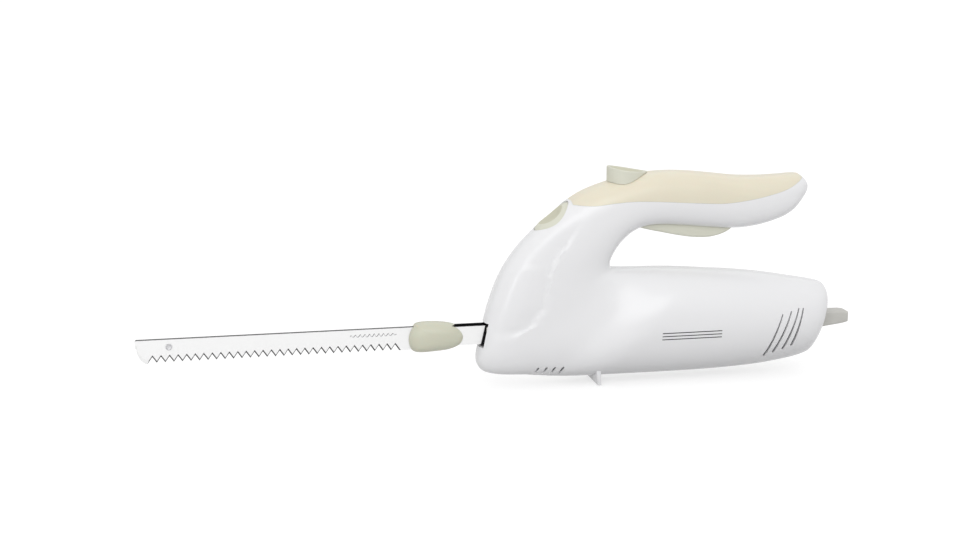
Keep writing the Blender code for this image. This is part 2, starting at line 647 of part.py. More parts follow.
def fan(owner):
    """A pressed disc with blades standing on its rear face."""
    hub = turned("cooling_fan", "X", (116.0, 0, MOTOR_Z), [(0, 2.8), (0, 17.0), (1.2, 17.0), (1.2, 6.0), (6.0, 6.0),
                                                           (6.0, 2.8)], NYLON, owner, 18)
    vanes = 8
    for index in range(vanes):
        vane = block_mesh("vane", (0.9, 5.0, -0.6), (6.6, 16.4, 0.6))
        vane.transform(Matrix.Translation(metres((116.0, 0, MOTOR_Z))) @ Matrix.Rotation(TAU * index / vanes, 4, "X"))
        boolean(hub, cutter(f"fan_vane_{index}", vane), "UNION")


def worm_gear(owner):
    outline = []
    for tooth in range(GEAR_TEETH):
        for offset, radius in ((-0.25, GEAR_ROOT), (-0.12, GEAR_TIP), (0.12, GEAR_TIP), (0.25, GEAR_ROOT)):
            angle = math.pi / 2 + TAU * (tooth + offset) / GEAR_TEETH
            outline.append((GEAR_X + radius * math.cos(angle), GEAR_Z + radius * math.sin(angle)))
    gear = plate("worm_gear", outline, -GEAR_HALF, GEAR_HALF, NYLON, owner)
    boolean(gear, cutter("gear_bore", rod_mesh("gear_bore", "Y", (GEAR_X, -5, GEAR_Z), 10, 2.0 + GAP, 16)))
    for label, side in (("left", -1), ("right", 1)):
        seat = (GEAR_X, 0, GEAR_Z - side * STROKE / 2)
        start = (seat[0], -5 if side < 0 else 0.3, seat[2])
        hole = cutter(label + "_pin_seat", rod_mesh(label + "_pin_seat", "Y", start, 4.7, 1.5 + GAP, 12))
        boolean(gear, hole)
        low = -ARM_IN + GAP if side < 0 else 0.6
        length = ARM_IN - GAP - 0.6
        rod(label + "_eccentric_pin", "Y", (seat[0], low, seat[2]), length, 1.5, ZINC, owner, 12)
    rod("gear_axle", "Y", (GEAR_X, -13.5, GEAR_Z), 27.0, 2.0, ZINC)


def drive_arm(side, owner):
    """A flat arm with a cross slot for the eccentric pin at the rear and the blade's socket in front."""
    label = "left" if side < 0 else "right"
    low, high = sorted((side * ARM_IN, side * ARM_OUT))
    yoke_low, yoke_high = GEAR_Z - 9.5, SHANK_HIGH - 0.6
    outline = [(-14.0, SHANK_LOW + 1.2), (-12.0, SHANK_LOW + 0.4), (38.0, SHANK_LOW + 0.4), (44.5, yoke_low),
               (59.5, yoke_low), (59.5, 37.0), (54.0, 37.0), (50.0, yoke_high - 6.0), (36.0, yoke_high),
               (-12.0, yoke_high), (-14.0, yoke_high - 0.8)]
    arm = plate(label + "_drive_arm", outline, low, high, NYLON, owner)
    yoke = rounded_box((GEAR_X - 1.9, GEAR_Z - 6.2), (GEAR_X + 1.9, GEAR_Z + 6.2), 1.8, 3)
    boolean(arm, cutter(label + "_yoke", outline_mesh(label + "_yoke", yoke, -12, 12)))
    relief = rounded_box((GEAR_X - 6.6, GEAR_Z - 2.6), (GEAR_X + 6.6, GEAR_Z + 2.6), 2.5, 3)
    boolean(arm, cutter(label + "_axle_room", outline_mesh(label + "_axle_room", relief, -12, 12)))
    spring_low, spring_high = sorted((side * (ARM_OUT + GAP), side * (ARM_OUT + GAP + 0.6)))
    leaf = [(-5.5, 33.4), (22.0, 33.4), (22.0, 40.2), (-5.5, 40.2)]
    plate(label + "_latch_spring", leaf, spring_low, spring_high, ZINC, owner)


def arm_guide():
    """The moulded guide in the nose, with a channel for each drive arm and its latch spring."""
    guide = block("arm_guide", (0.0, -11.5, 26.5), (14.0, 11.5, 46.5), BLACK, edge=0.8)
    for label, side in (("left", -1), ("right", 1)):
        low, high = sorted((side * (ARM_IN - GAP), side * (ARM_OUT + 1.2)))
        cut_block(guide, label + "_channel", (-5.0, low, SHANK_LOW), (20.0, high, SHANK_HIGH))


def gear_frame():
    """Two cheeks that carry the gear's axle, joined under the gear."""
    for label, side in (("left", -1), ("right", 1)):
        low, high = sorted((side * 9.6, side * 12.2))
        outline = rounded_box((40.0, 13.6), (64.0, 50.0), 3.0, 3)
        cheek = plate(label + "_gear_cheek", outline, low, high, BLACK)
        bore = rod_mesh(label + "_axle_bore", "Y", (GEAR_X, -20, GEAR_Z), 40, 2.0 + GAP, 16)
        boolean(cheek, cutter(label + "_axle_bore", bore))


# ---------------------------------------------------------------- motor

def motor():
    low, high = (-19.0, MOTOR_Z - 23.0), (19.0, MOTOR_Z + 23.0)
    data = outline_mesh("motor_stator", rounded_box(low, high, 12.0, 4), -14.0, 14.0)
    data.transform(Matrix.Translation(metres((148.0, 0, 0))) @ Matrix.Rotation(math.pi / 2, 4, "Z"))
    stator = add_object("motor_stator", data, IRON)
    boolean(stator, cutter("armature_room", rod_mesh("armature_room", "X", (120, 0, MOTOR_Z), 60, 14.0, 24)))
    for label, side in (("left", -1), ("right", 1)):
        y_low, y_high = sorted((side * 14.0, side * 18.2))
        for end, x in (("front", 127.6), ("rear", 162.4)):
            block(f"{label}_{end}_field_coil", (x, y_low, MOTOR_Z - 13.0), (x + 6.0, y_high, MOTOR_Z + 13.0),
                  COPPER, edge=1.2)
    for label, x, half in (("front", 106.0, 17.0), ("rear", 184.0, 15.5)):
        outline = rounded_box((-half, MOTOR_Z - 8.0), (half, MOTOR_Z + 8.0), 3.0, 3)
        data = outline_mesh(label + "_bracket", outline, -1.5, 1.5)
        data.transform(Matrix.Translation(metres((x + 1.5, 0, 0))) @ Matrix.Rotation(math.pi / 2, 4, "Z"))
        bracket = add_object(label + "_bearing_bracket", data, BLACK)
        seat = rod_mesh(label + "_bearing_seat", "X", (x - 5, 0, MOTOR_Z), 14, 5.0 + GAP, 14)
        boolean(bracket, cutter(label + "_bearing_seat", seat))
        turned(label + "_bearing", "X", (x - 1.0, 0, MOTOR_Z), [(0, 2.8), (0, 5.0), (5.0, 5.0), (5.0, 2.8)],
               BRONZE, sides=14)
    for label, side in (("left", -1), ("right", 1)):
        y_low, y_high = sorted((side * 8.0, side * 16.0))
        block(label + "_carbon_brush", (173.4, y_low, MOTOR_Z - 2.6), (179.4, y_high, MOTOR_Z + 2.6), CARBON)
    turned("nose_bearing", "X", (37.5, 0, MOTOR_Z), [(0, 2.3), (0, 4.4), (4.0, 4.4), (4.0, 2.3)], BRONZE, sides=16)


# ---------------------------------------------------------------- controls and wiring

def trigger(owner):
    outline = [(88.6, 107.0), (97.0, 104.2), (106.0, 102.2), (116.0, 100.0), (126.0, 98.2), (134.0, 97.5),
               (141.0, 97.6), (148.6, 99.2), (154.0, 101.6), (157.0, 104.4), (156.6, 107.4), (150.0, 109.6),
               (134.0, 110.6), (112.0, 111.4), (100.0, 113.6), (95.6, 117.0), (90.4, 117.0), (88.4, 112.0)]
    obj = plate("trigger", outline, -TRIGGER_HALF, TRIGGER_HALF, COLLAR_CREAM, owner, edge=1.4)
    x, z = TRIGGER_PIVOT
    boolean(obj, cutter("trigger_bore", rod_mesh("trigger_bore", "Y", (x, -20, z), 40, 1.5 + GAP, 12)))
    rod("trigger_pin", "Y", (x, -10.0, z), 20.0, 1.5, ZINC, sides=12)


def switch(plunger_owner):
    body = block("switch_body", (120.0, -5.0, 116.6), (142.0, 5.0, 127.6), BLACK, edge=0.5)
    boolean(body, cutter("plunger_room", rod_mesh("plunger_room", "Z", (134.0, 0, 110.0), 13.0, 1.5 + GAP, 12)))
    rod("switch_plunger", "Z", (134.0, 0, 111.6), 6.8, 1.5, COLLAR_CREAM, plunger_owner, sides=12)


def lock_button(owner):
    """The sliding lock on top of the grip: round and tall in front, pointed behind, and saddled over the cover."""
    plan = []
    for step in range(25):
        angle = math.pi * (step / 24 - 0.5)
        along = 0.5 + 0.5 * math.sin(angle)
        width = LOCK_HALF * 2.436 * along ** 0.5 * (1 - along) ** 0.85
        plan.append((LOCK_FRONT + (LOCK_REAR - LOCK_FRONT) * along, width))
    plan = plan + [(x, -width) for x, width in plan[-2:0:-1]]
    bm = bmesh.new()
    corners = [bm.verts.new(metres((x, y, 126.0))) for x, y in plan]
    bottom = bm.faces.new(corners)
    raised = bmesh.ops.extrude_face_region(bm, geom=[bottom])
    for vert in (item for item in raised["geom"] if isinstance(item, bmesh.types.BMVert)):
        share = (vert.co.x / MM - LOCK_FRONT) / (LOCK_REAR - LOCK_FRONT)
        vert.co.z = (LOCK_TOP[1] + (LOCK_TOP[0] - LOCK_TOP[1]) * max(0.0, 1 - share) ** 2.2) * MM
    bmesh.ops.recalc_face_normals(bm, faces=bm.faces)
    obj = add_object("lock_button", finish_mesh("lock_button", bm), COLLAR_CREAM, owner)
    grip = cutter("grip_under_lock", flank_mesh("grip_under_lock", 1, 0, COVER_RIBS, 1, 9, 0.0))
    grip.data.transform(Matrix.Translation((0, 0, 0.6 * MM)) @ Matrix.Diagonal((1, 1.04, 1, 1)))
    mirror = grip.modifiers.new("far_side", "MIRROR")
    mirror.use_axis = (False, True, False)
    mirror.merge_threshold = 0.0001
    close_end(grip)
    boolean(obj, grip)
    stem = block_mesh("lock_stem", (LOCK_STEM_X - 3.0, -2.2, 121.0), (LOCK_STEM_X + 3.0, 2.2, 143.0))
    boolean(obj, cutter("lock_stem", stem), "UNION")
    bevel(obj, 0.5, 1, 60)


def close_end(obj):
    """Bake the mirrored skin and cap its open end, so that it can cut."""
    bpy.context.view_layer.update()
    seen = obj.evaluated_get(bpy.context.evaluated_depsgraph_get())
    data = bpy.data.meshes.new_from_object(seen)
    obj.modifiers.clear()
    bm = bmesh.new()
    bm.from_mesh(data)
    bmesh.ops.holes_fill(bm, edges=[edge for edge in bm.edges if edge.is_boundary], sides=0)
    bmesh.ops.recalc_face_normals(bm, faces=bm.faces)
    bm.to_mesh(data)
    bm.free()
    obj.data = data


def release_button(owner):
    """The oval button on the front shoulder, saddled over it, and with a short stem inside."""
    bm = bmesh.new()
    bmesh.ops.create_uvsphere(bm, u_segments=24, v_segments=10, radius=1.0,
                              matrix=Matrix.Diagonal((14.4 * MM, RELEASE_HALF * MM, 3.9 * MM, 1)))
    for vert in bm.verts:
        vert.co.z -= RELEASE_BEND * MM * (vert.co.y / (RELEASE_HALF * MM)) ** 2
    turn = Matrix.Translation(metres((SHOULDER[0], 0, SHOULDER[1]))) @ Matrix.Rotation(-SHOULDER_SLOPE, 4, "Y")
    bmesh.ops.transform(bm, matrix=turn, verts=bm.verts)
    obj = add_object("release_button", finish_mesh("release_button", bm), COLLAR_CREAM, owner)
    stem = rod_mesh("release_stem", "Z", (0, 0, -13.9), 11.7, 3.0, 12)
    stem.transform(turn)
    boolean(obj, cutter("release_stem", stem), "UNION")


def release_lever(owner):
    """The rocker that carries the button's push down to the latch springs in the nose."""
    x, z = LEVER_PIVOT
    outline = [(34.0, 103.4), (40.6, 101.0), (41.0, 98.4), (29.0, 84.0), (26.5, 77.6), (14.4, 62.0), (7.0, 49.0),
               (2.4, 50.6), (9.0, 64.0), (20.0, 80.0)]
    lever = plate("release_lever", outline, -4.0, 4.0, NYLON, owner)
    boolean(lever, cutter("lever_bore", rod_mesh("lever_bore", "Y", (x, -20, z), 40, 1.5 + GAP, 12)))
    rod("lever_pin", "Y", (x, -12.0, z), 24.0, 1.5, ZINC, sides=12)


def coil_spring(name, axis, start, length, radius, turns, wire):
    points = []
    steps = 6
    for step in range(turns * steps + 1):
        angle = TAU * step / steps
        along = length * step / (turns * steps)
        local = Vector((radius * math.cos(angle), radius * math.sin(angle), along))
        points.append(Vector(start) + (AXIS_TURN[axis].to_3x3() @ local))
    return curve_wire(name, points, wire, ZINC)


def wiring():
    block("cord_clamp", (190.0, -7.5, 41.4), (199.0, 7.5, 45.0), BLACK, edge=0.6)
    block("clamp_base", (190.0, -9.0, 27.0), (199.0, 9.0, 32.0), BLACK, edge=0.6)
    for index, y in enumerate((-5.4, 5.4)):
        turned(f"clamp_screw_{index + 1}", "Z", (194.5, y, 33.0), [(0, 0), (0, 1.0), (7.2, 1.0), (7.2, 0)], ZINC,
               sides=10)
    block("suppressor_capacitor", (166.0, -6.0, 12.6), (184.0, 6.0, 17.8), BRONZE, edge=1.0)


def main():
    casing_half("left_casing", -1)
    casing_half("right_casing", 1)
    grip_cover()
    casing_screws()
    strain_relief()
    axis = joint_empty("rotor_axis", (0, 0, MOTOR_Z))
    rotor(axis)
    worm_gear(joint_empty("gear_axis", (GEAR_X, 0, GEAR_Z)))
    arm_guide()
    gear_frame()
    motor()
    for side, label in ((-1, "left"), (1, "right")):
        arm = joint_empty(label + "_arm_axis", (20.0, side * ARM_MID, 36.8))
        drive_arm(side, arm)
        blade_axis = joint_empty(label + "_blade_axis", (SHANK_END, side * 3.5, 36.8))
        blade_assembly(side, blade_axis)
        if side < 0:
            rivet(blade_axis)
    trigger(joint_empty("trigger_axis", (TRIGGER_PIVOT[0], 0, TRIGGER_PIVOT[1])))
    switch(joint_empty("plunger_axis", (134.0, 0, 111.0)))
    lock_button(joint_empty("lock_axis", (LOCK_STEM_X, 0, LOCK_TOP[0])))
    release_button(joint_empty("release_axis", (SHOULDER[0], 0, SHOULDER[1])))
    release_lever(joint_empty("lever_axis", (LEVER_PIVOT[0], 0, LEVER_PIVOT[1])))
    coil_spring("trigger_spring", "Z", (110.0, 0, 113.4), 9.0, 3.0, 4, 0.35)
    wiring()


main()
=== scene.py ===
"""The looks of an electric carving knife: fine surfaces, finishes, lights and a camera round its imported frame.

+X runs to the cord's end, +Z is up, and y = 0 is the plane on which the two casing halves meet. Shapes are
worked out in millimetres, and the mesh helpers turn them into metres. The settings hold metres.
"""

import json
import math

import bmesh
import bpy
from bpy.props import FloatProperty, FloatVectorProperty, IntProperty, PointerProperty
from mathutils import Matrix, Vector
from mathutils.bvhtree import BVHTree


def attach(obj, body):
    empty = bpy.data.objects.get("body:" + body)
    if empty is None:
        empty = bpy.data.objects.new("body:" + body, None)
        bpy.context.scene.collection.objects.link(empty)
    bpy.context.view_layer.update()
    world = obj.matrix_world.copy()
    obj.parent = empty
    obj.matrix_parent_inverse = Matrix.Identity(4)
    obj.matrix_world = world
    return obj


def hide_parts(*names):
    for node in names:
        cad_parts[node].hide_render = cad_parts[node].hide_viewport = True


bl_info = {
    "name": "Electric Carving Knife",
    "version": (1, 0, 0),
    "blender": (4, 5, 0),
    "location": "View3D > Sidebar > Knife",
    "description": "Builds the fine pieces, finishes and studio of an electric carving knife",
    "category": "Object",
}

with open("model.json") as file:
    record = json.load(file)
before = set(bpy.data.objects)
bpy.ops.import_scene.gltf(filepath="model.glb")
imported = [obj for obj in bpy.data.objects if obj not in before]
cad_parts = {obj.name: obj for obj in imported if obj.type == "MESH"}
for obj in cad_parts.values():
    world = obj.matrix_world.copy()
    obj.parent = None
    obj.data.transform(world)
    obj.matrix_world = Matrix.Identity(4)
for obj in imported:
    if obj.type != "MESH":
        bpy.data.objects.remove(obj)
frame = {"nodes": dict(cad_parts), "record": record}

MM = 0.001
TAU = 2 * math.pi
WHITE = (1.0, 1.0, 1.0, 1.0)
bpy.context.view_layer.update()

SPLIT = 0.15                    # each casing half stops this far from the centre plane
LAND = 0.8                      # flat edge of each half beside the parting line
GAP = 0.3                       # clearance between pieces that touch
COVER_GAP = 0.08                # fine seam between the casing and its grip cover
SHEET_POWER = 2.5               # squareness of the handle's and pillar's cross-section
BLEND_POWER = 8                 # how sharply the barrel meets the pillar
TAIL_SKEW = 1.5                 # moves the roundest point of the handle's tail upwards
REAR_SKEW = 0.52                # moves the roundest point of the barrel's rear face upwards
BARREL_RISE = 62.0              # length over which the barrel swells out of the pillar

RIVET = (-222.5, 38.6)          # x and z of the blade rivet
SHANK_OFFSET = 2.9              # how far a shank stands further out than its blade
JOGGLE = (-60.0, -48.0)         # stretch over which blade and shank are bent apart
SHANK = (30.4, 43.2)            # lower and upper edge of a shank
TRIGGER_PIVOT = (93.0, 114.0)
TRIGGER_HALF = 6.7
SPRING_SEAT = (110.0, 109.2)    # x and bottom of the blind hole for the trigger's return spring
SPRING_SEAT_RADIUS = 4.1
LOCK = (69.6, 97.6)             # front and rear of the lock
LOCK_HALF = 12.2
LOCK_TOP = (147.4, 143.4)       # height of the lock's rim in front and behind
LOCK_STEM_X = 80.0
SHOULDER = (31.4, 114.6)        # middle of the release button, on the front shoulder
SHOULDER_SLOPE = math.radians(38)
RELEASE_PLAN = (14.5, 12.5)     # half length and half width of the release button
RELEASE_BEND = 3.8              # how far the release button's sides bend down over the shoulder
POST = 4.2                      # radius of a screw post
POST_COVER = 0.7                # thickness of the casing left over the end of a screw post
SCREW_SEAT = 9.3                # y at which a casing screw's head sits
FOOT_X = 61.5
FOOT_HALF = 15.0
FOOT_TOP = 12.4                 # the foot reaches this far up into the casing
NOSE_SLOT_HALF = 8.1
RELIEF_ROOM_HALF = 6.9
COLLAR_MIDDLE = (-47.6, 36.5)
COLLAR_BULGE = 8.7
RELIEF_X = (216.6, 244.1)       # root and tip of the strain relief
MOTOR_Z = 42.0                  # height of the motor's axis
FAN_X = 116.0
ARMATURE_X, ARMATURE_LENGTH = 133.0, 30.0
STATOR_X, STATOR_LENGTH = 134.0, 28.0
COMMUTATOR_X, COMMUTATOR_LENGTH = 171.4, 10.0
SHAFT_ROOM = 2.8                # radius of the rotor pieces' bore
SHEET_SHARE = 0.86              # share of the lamination pitch that is iron, or of a bar's turn that is copper
STRIPE_ENDS = (102.0, 144.0)    # front and rear end of the printed stripes
STRIPE_HEIGHTS = (32.2, 34.4, 36.6)
STRIPE_WIDTH = 0.6

# Ribs of the side outline, from the handle's tail round the nose to the barrel's rear: outer point, finger-gap
# point, half width of the handle or pillar, bulge to the rear, fullness of the section.
RIBS = [
    ((204.5, 138.6), (202.5, 115.2), 13.0, 7.0, 0.0),
    ((203.8, 138.7), (202.0, 114.8), 13.0, 6.4, 0.5),
    ((202.0, 138.8), (200.5, 113.8), 13.2, 5.2, 0.76),
    ((198.0, 138.7), (197.0, 111.7), 13.6, 3.0, 0.94),
    ((190.0, 138.2), (190.0, 108.4), 14.2, 0.4, 1.0),
    ((175.0, 137.9), (175.0, 104.3), 15.0, 0.0, 1.0),
    ((158.0, 138.7), (158.0, 102.8), 15.6, 0.0, 1.0),
    ((140.0, 140.9), (140.0, 104.2), 16.0, 0.0, 1.0),
    ((121.0, 142.8), (121.0, 106.2), 16.2, 0.0, 1.0),
    ((102.0, 142.9), (105.0, 107.2), 16.4, 0.0, 1.0),
    ((84.0, 140.3), (94.0, 106.3), 16.8, 0.0, 1.0),
    ((66.0, 135.8), (85.5, 102.6), 17.2, 0.0, 1.0),
    ((50.0, 129.5), (79.2, 97.2), 17.6, 0.0, 1.0),
    ((34.5, 119.0), (75.5, 92.4), 17.8, 0.0, 1.0),
    ((20.0, 106.4), (72.8, 87.8), 18.0, 0.0, 1.0),
    ((7.0, 93.0), (71.4, 84.0), 18.0, 0.0, 1.0),
    ((-3.5, 77.5), (71.3, 81.0), 17.8, 0.0, 1.0),
    ((-10.8, 60.0), (72.4, 78.9), 17.6, 0.0, 1.0),
    ((-15.2, 44.5), (75.0, 78.1), 17.4, 0.0, 1.0),
    ((-18.4, 30.5), (79.0, 77.9), 17.2, 0.0, 1.0),
    ((-20.2, 19.5), (84.0, 77.8), 17.0, 0.0, 1.0),
    ((-16.8, 12.0), (89.5, 77.6), 17.0, 0.0, 1.0),
    ((-6.0, 8.7), (95.5, 77.4), 17.2, 0.0, 1.0),
    ((13.0, 7.4), (102.5, 77.1), 17.6, 0.0, 1.0),
    ((38.0, 5.9), (111.0, 76.7), 18.0, 0.0, 1.0),
    ((63.0, 5.0), (121.0, 76.1), 18.4, 0.0, 1.0),
    ((87.0, 4.5), (132.0, 75.4), 18.6, 0.0, 1.0),
    ((111.0, 4.4), (144.0, 74.5), 18.6, 0.0, 1.0),
    ((135.0, 4.5), (157.0, 73.4), 18.6, 0.0, 1.0),
    ((157.0, 5.1), (171.0, 71.8), 18.4, 0.0, 1.0),
    ((177.0, 6.3), (186.0, 69.6), 18.0, 0.0, 1.0),
    ((194.0, 8.4), (201.0, 66.8), 17.4, 0.5, 1.0),
    ((206.0, 10.6), (212.5, 64.6), 17.0, 2.4, 0.96),
    ((212.0, 12.4), (218.0, 63.4), 16.8, 4.8, 0.84),
    ((214.6, 13.4), (220.6, 62.8), 16.6, 6.6, 0.6),
    ((215.6, 14.0), (221.8, 62.4), 16.6, 7.6, 0.0),
]
RIB_ROWS = [(*outer, *inner, half, bulge, full) for outer, inner, half, bulge, full in RIBS]
REAR_FROM = 26                  # ribs from here on belong to the barrel's rear
COVER_RIBS = 13                 # the grip cover lies over the ribs up to this one

# Lower edge of the grip cover on the sides of the handle, front to rear, closed above the handle
COVER_EDGE = [(43.5, 123.6), (57.0, 123.2), (70.0, 124.6), (83.0, 125.4), (100.0, 124.8),
              (131.0, 122.6), (148.0, 121.9), (165.0, 123.5), (179.0, 126.0), (193.0, 129.9), (206.0, 136.7),
              (209.0, 150.0), (43.5, 150.0)]

SCREW_PLACES = [(190.0, 121.0), (60.0, 108.0), (-6.0, 17.5), (84.0, 16.0), (92.0, 68.0), (203.0, 55.0)]
REAR_VENTS = [((177.7, 16.0), (187.8, 45.3)), ((183.7, 18.4), (194.3, 46.8)), ((190.4, 20.6), (200.0, 48.6)),
              ((196.4, 23.0), (203.4, 48.4))]
FRONT_VENTS = [16.8, 22.5, 28.2, 33.9]

COLLAR = [(-63.0, 43.8), (-60.0, 46.2), (-50.0, 46.6), (-39.0, 45.3), (-33.0, 43.0), (-29.6, 39.4), (-28.4, 36.0),
          (-29.8, 32.0), (-33.6, 29.2), (-40.5, 27.4), (-50.0, 26.6), (-59.0, 26.4), (-63.6, 27.8),
          (-65.8, 31.5), (-66.2, 36.5), (-65.2, 40.5)]
TRIGGER = [(88.6, 107.0), (97.0, 104.2), (106.0, 102.2), (116.0, 100.0), (126.0, 98.2), (134.0, 97.5),
           (141.0, 97.6), (148.6, 99.2), (154.0, 101.6), (157.0, 104.4), (156.6, 107.4), (150.0, 109.6),
           (134.0, 110.6), (112.0, 111.4), (100.0, 113.6), (95.6, 117.0), (90.4, 117.0), (88.4, 112.0)]

# The line on each flank where the pillar's side steps down to the scooped nose, from the top down
CREASE = [(116.0, 52.0), (113.4, 49.0), (99.1, 40.2), (90.6, 32.3), (76.3, 26.5), (57.0, 24.5), (44.2, 16.2),
          (38.2, 6.5), (35.0, 0.0)]


# ---------------------------------------------------------------- settings

def length(name, description, default):
    """A setting for a size, in metres."""
    return FloatProperty(name=name, description=description, default=default, min=0.0, subtype="DISTANCE",
                         unit="LENGTH", precision=5)


def colour(name, description, default):
    """A setting for a colour."""
    return FloatVectorProperty(name=name, description=description, default=default, size=3, min=0.0, max=1.0,
                               subtype="COLOR")


def share(name, description, default):
    """A setting that runs from 0 to 1."""
    return FloatProperty(name=name, description=description, default=default, min=0.0, max=1.0,
                         subtype="FACTOR")


class CasingSettings(bpy.types.PropertyGroup):
    """Sizes and finish of the white casing and the cream grip cover."""
    per_rib: IntProperty(name="Steps Between Ribs", description="Rows of faces between two ribs", default=6,
                         min=1)
    girth: IntProperty(name="Steps Across", description="Columns of faces from the finger gap to the outside",
                       default=52, min=8)
    wall: length("Wall", "Thickness of the casing and of the grip cover", 0.0022)
    barrel_half: length("Barrel Half Width", "Greatest half width of the barrel", 0.026)
    crease_depth: length("Crease Depth", "Height of the step between pillar and nose", 0.0021)
    white: colour("Casing Colour", "Colour of the glossy casing", (0.80, 0.80, 0.815))
    cream: colour("Cover Colour", "Colour of the grip cover", (0.755, 0.700, 0.560))
    gloss: share("Casing Roughness", "Roughness of the glossy casing", 0.2)
    satin: share("Cover Roughness", "Roughness of the grip cover", 0.36)


class ControlSettings(bpy.types.PropertyGroup):
    """Sizes and finish of the lock, release and trigger."""
    lock_dish: length("Lock Dish", "Depth of the hollow in the lock's top", 0.0026)
    release_dish: length("Release Dish", "Depth of the hollow in the release button", 0.0016)
    edge: length("Edge Radius", "Radius of the trigger's edges", 0.0021)
    tint: colour("Control Colour", "Colour of the trigger and buttons", (0.665, 0.655, 0.520))
    roughness: share("Control Roughness", "Roughness of the trigger and buttons", 0.34)


class BladeSettings(bpy.types.PropertyGroup):
    """Sizes and finish of the blades, their collars and their rivet."""
    tooth_count: IntProperty(name="Gullets", description="Number of gullets ground in each blade", default=30,
                             min=2)
    pitch: length("Tooth Pitch", "Distance between two teeth", 0.00545)
    depth: length("Gullet Depth", "Height of a tooth", 0.0039)
    grind: length("Grind Width", "Height of the ground face over each gullet", 0.0015)
    tip_grind: length("Tip Grind", "Height of the ground face round the tip", 0.0034)
    spine_edge: length("Spine Chamfer", "Chamfer along the spine", 0.00012)
    steel: colour("Blade Steel", "Colour of the polished flats", (0.93, 0.925, 0.93))
    # Dark colour of the ground faces and spine: a painted dark reflection, far darker than the steel itself.
    ground: colour("Ground Steel", "Colour of the ground faces", (0.10, 0.098, 0.10))
    collar: colour("Collar Colour", "Colour of the moulded collars", (0.585, 0.585, 0.470))
    brush: share("Brush Strength", "Strength of the brushing marks", 0.25)


class FixingSettings(bpy.types.PropertyGroup):
    """Sizes and finish of the screws and the cord's strain relief."""
    head: length("Screw Head Radius", "Radius of a casing screw's head", 0.0031)
    recess: length("Recess Depth", "Depth of the cross recess", 0.0013)
    cross: length("Recess Width", "Width of an arm of the cross recess", 0.0009)
    zinc: colour("Zinc Colour", "Colour of the zinc plating", (0.60, 0.60, 0.61))
    relief: colour("Strain Relief Colour", "Colour of the strain relief", (0.555, 0.548, 0.515))


class InnerSettings(bpy.types.PropertyGroup):
    """Sizes and colours of the motor and the drive."""
    lamination: length("Lamination Pitch", "Distance between two laminations", 0.001)
    bars: IntProperty(name="Commutator Bars", description="Number of copper bars", default=16, min=4)
    slots: IntProperty(name="Armature Slots", description="Number of slots in the armature", default=12, min=4)
    vanes: IntProperty(name="Fan Vanes", description="Number of vanes on the cooling fan", default=8, min=2)
    iron: colour("Lamination Colour", "Colour of the motor's laminations", (0.26, 0.26, 0.28))
    copper: colour("Copper Colour", "Colour of the enamelled windings", (0.60, 0.26, 0.11))
    bronze: colour("Bronze Colour", "Colour of the bearings", (0.58, 0.40, 0.20))
    nylon: colour("Nylon Colour", "Colour of the gear, arms and fan", (0.74, 0.72, 0.62))
    black: colour("Black Plastic", "Colour of the moulded brackets", (0.022, 0.022, 0.024))


class StageSettings(bpy.types.PropertyGroup):
    """Floor, lights and camera."""
    target: FloatVectorProperty(name="Target", description="The point that the camera looks at", size=3,
                                default=(-0.010586, 0.0, 0.0765), subtype="TRANSLATION", unit="LENGTH")
    distance: length("Camera Distance", "Distance from the camera to its target", 1.1)
    azimuth: FloatProperty(name="Azimuth", description="The camera's turn round the knife",
                           default=math.radians(-12), subtype="ANGLE", unit="ROTATION")
    elevation: FloatProperty(name="Elevation", description="The camera's height angle",
                             default=math.radians(12), subtype="ANGLE", unit="ROTATION")
    focal: FloatProperty(name="Focal Length", description="The lens, in millimetres", default=60.61, min=1.0,
                         subtype="NONE")
    sky: FloatProperty(name="Sky Strength", description="Brightness of the surroundings overhead", default=0.86,
                       min=0.0)
    horizon: FloatProperty(name="Horizon Strength", description="Brightness of the surroundings at eye level",
                           default=0.86, min=0.0)
    key: FloatProperty(name="Key Power", description="Power of the large front light", default=7.6, min=0.0,
                       unit="POWER")
    rim: FloatProperty(name="Rim Power", description="Power of the light behind", default=0.8, min=0.0,
                       unit="POWER")
    strip: FloatProperty(name="Strip Power", description="Power of the narrow light in front of the nose",
                         default=3.0, min=0.0, unit="POWER")
    floor: colour("Floor Colour", "Colour of the pale floor", (0.44, 0.44, 0.44))
    glow: FloatProperty(name="Floor Glow", description="Brightness added to the floor where it is seen directly",
                        default=0.62, min=0.0)


# ---------------------------------------------------------------- mesh helpers

def metres(point):
    """A place in millimetres as a vector in metres."""
    return Vector(point) * MM


def finished_mesh(name, bm, smooth=35):
    """The mesh of a bmesh, smooth up to an angle in degrees; 0 leaves it flat."""
    data = bpy.data.meshes.new(name)
    bm.to_mesh(data)
    bm.free()
    if smooth:
        data.shade_smooth()
        data.set_sharp_from_angle(angle=math.radians(smooth))
    return data


def add_object(name, data, *materials):
    """Put a mesh in the scene as an object with the given materials."""
    obj = bpy.data.objects.new(name, data)
    bpy.context.scene.collection.objects.link(obj)
    for mat in materials:
        data.materials.append(mat)
    return obj


def bake(obj, smooth=None):
    """Turn the object's modifiers into its mesh."""
    bpy.context.view_layer.update()
    seen = obj.evaluated_get(bpy.context.evaluated_depsgraph_get())
    data = bpy.data.meshes.new_from_object(seen)
    obj.modifiers.clear()
    obj.data = data
    if smooth:
        data.shade_smooth()
        data.set_sharp_from_angle(angle=math.radians(smooth))
    return obj


def cut(target, tool, operation="DIFFERENCE"):
    """Cut the target with a mesh or an object, or join them, and remove the tool."""
    if isinstance(tool, bpy.types.Mesh):
        tool = add_object("tool", tool)
    mod = target.modifiers.new("cut", "BOOLEAN")
    mod.operation = operation
    mod.object = tool
    mod.solver = "MANIFOLD"
    mod.material_mode = "TRANSFER"
    bake(target)
    bpy.data.objects.remove(tool, do_unlink=True)
    return target


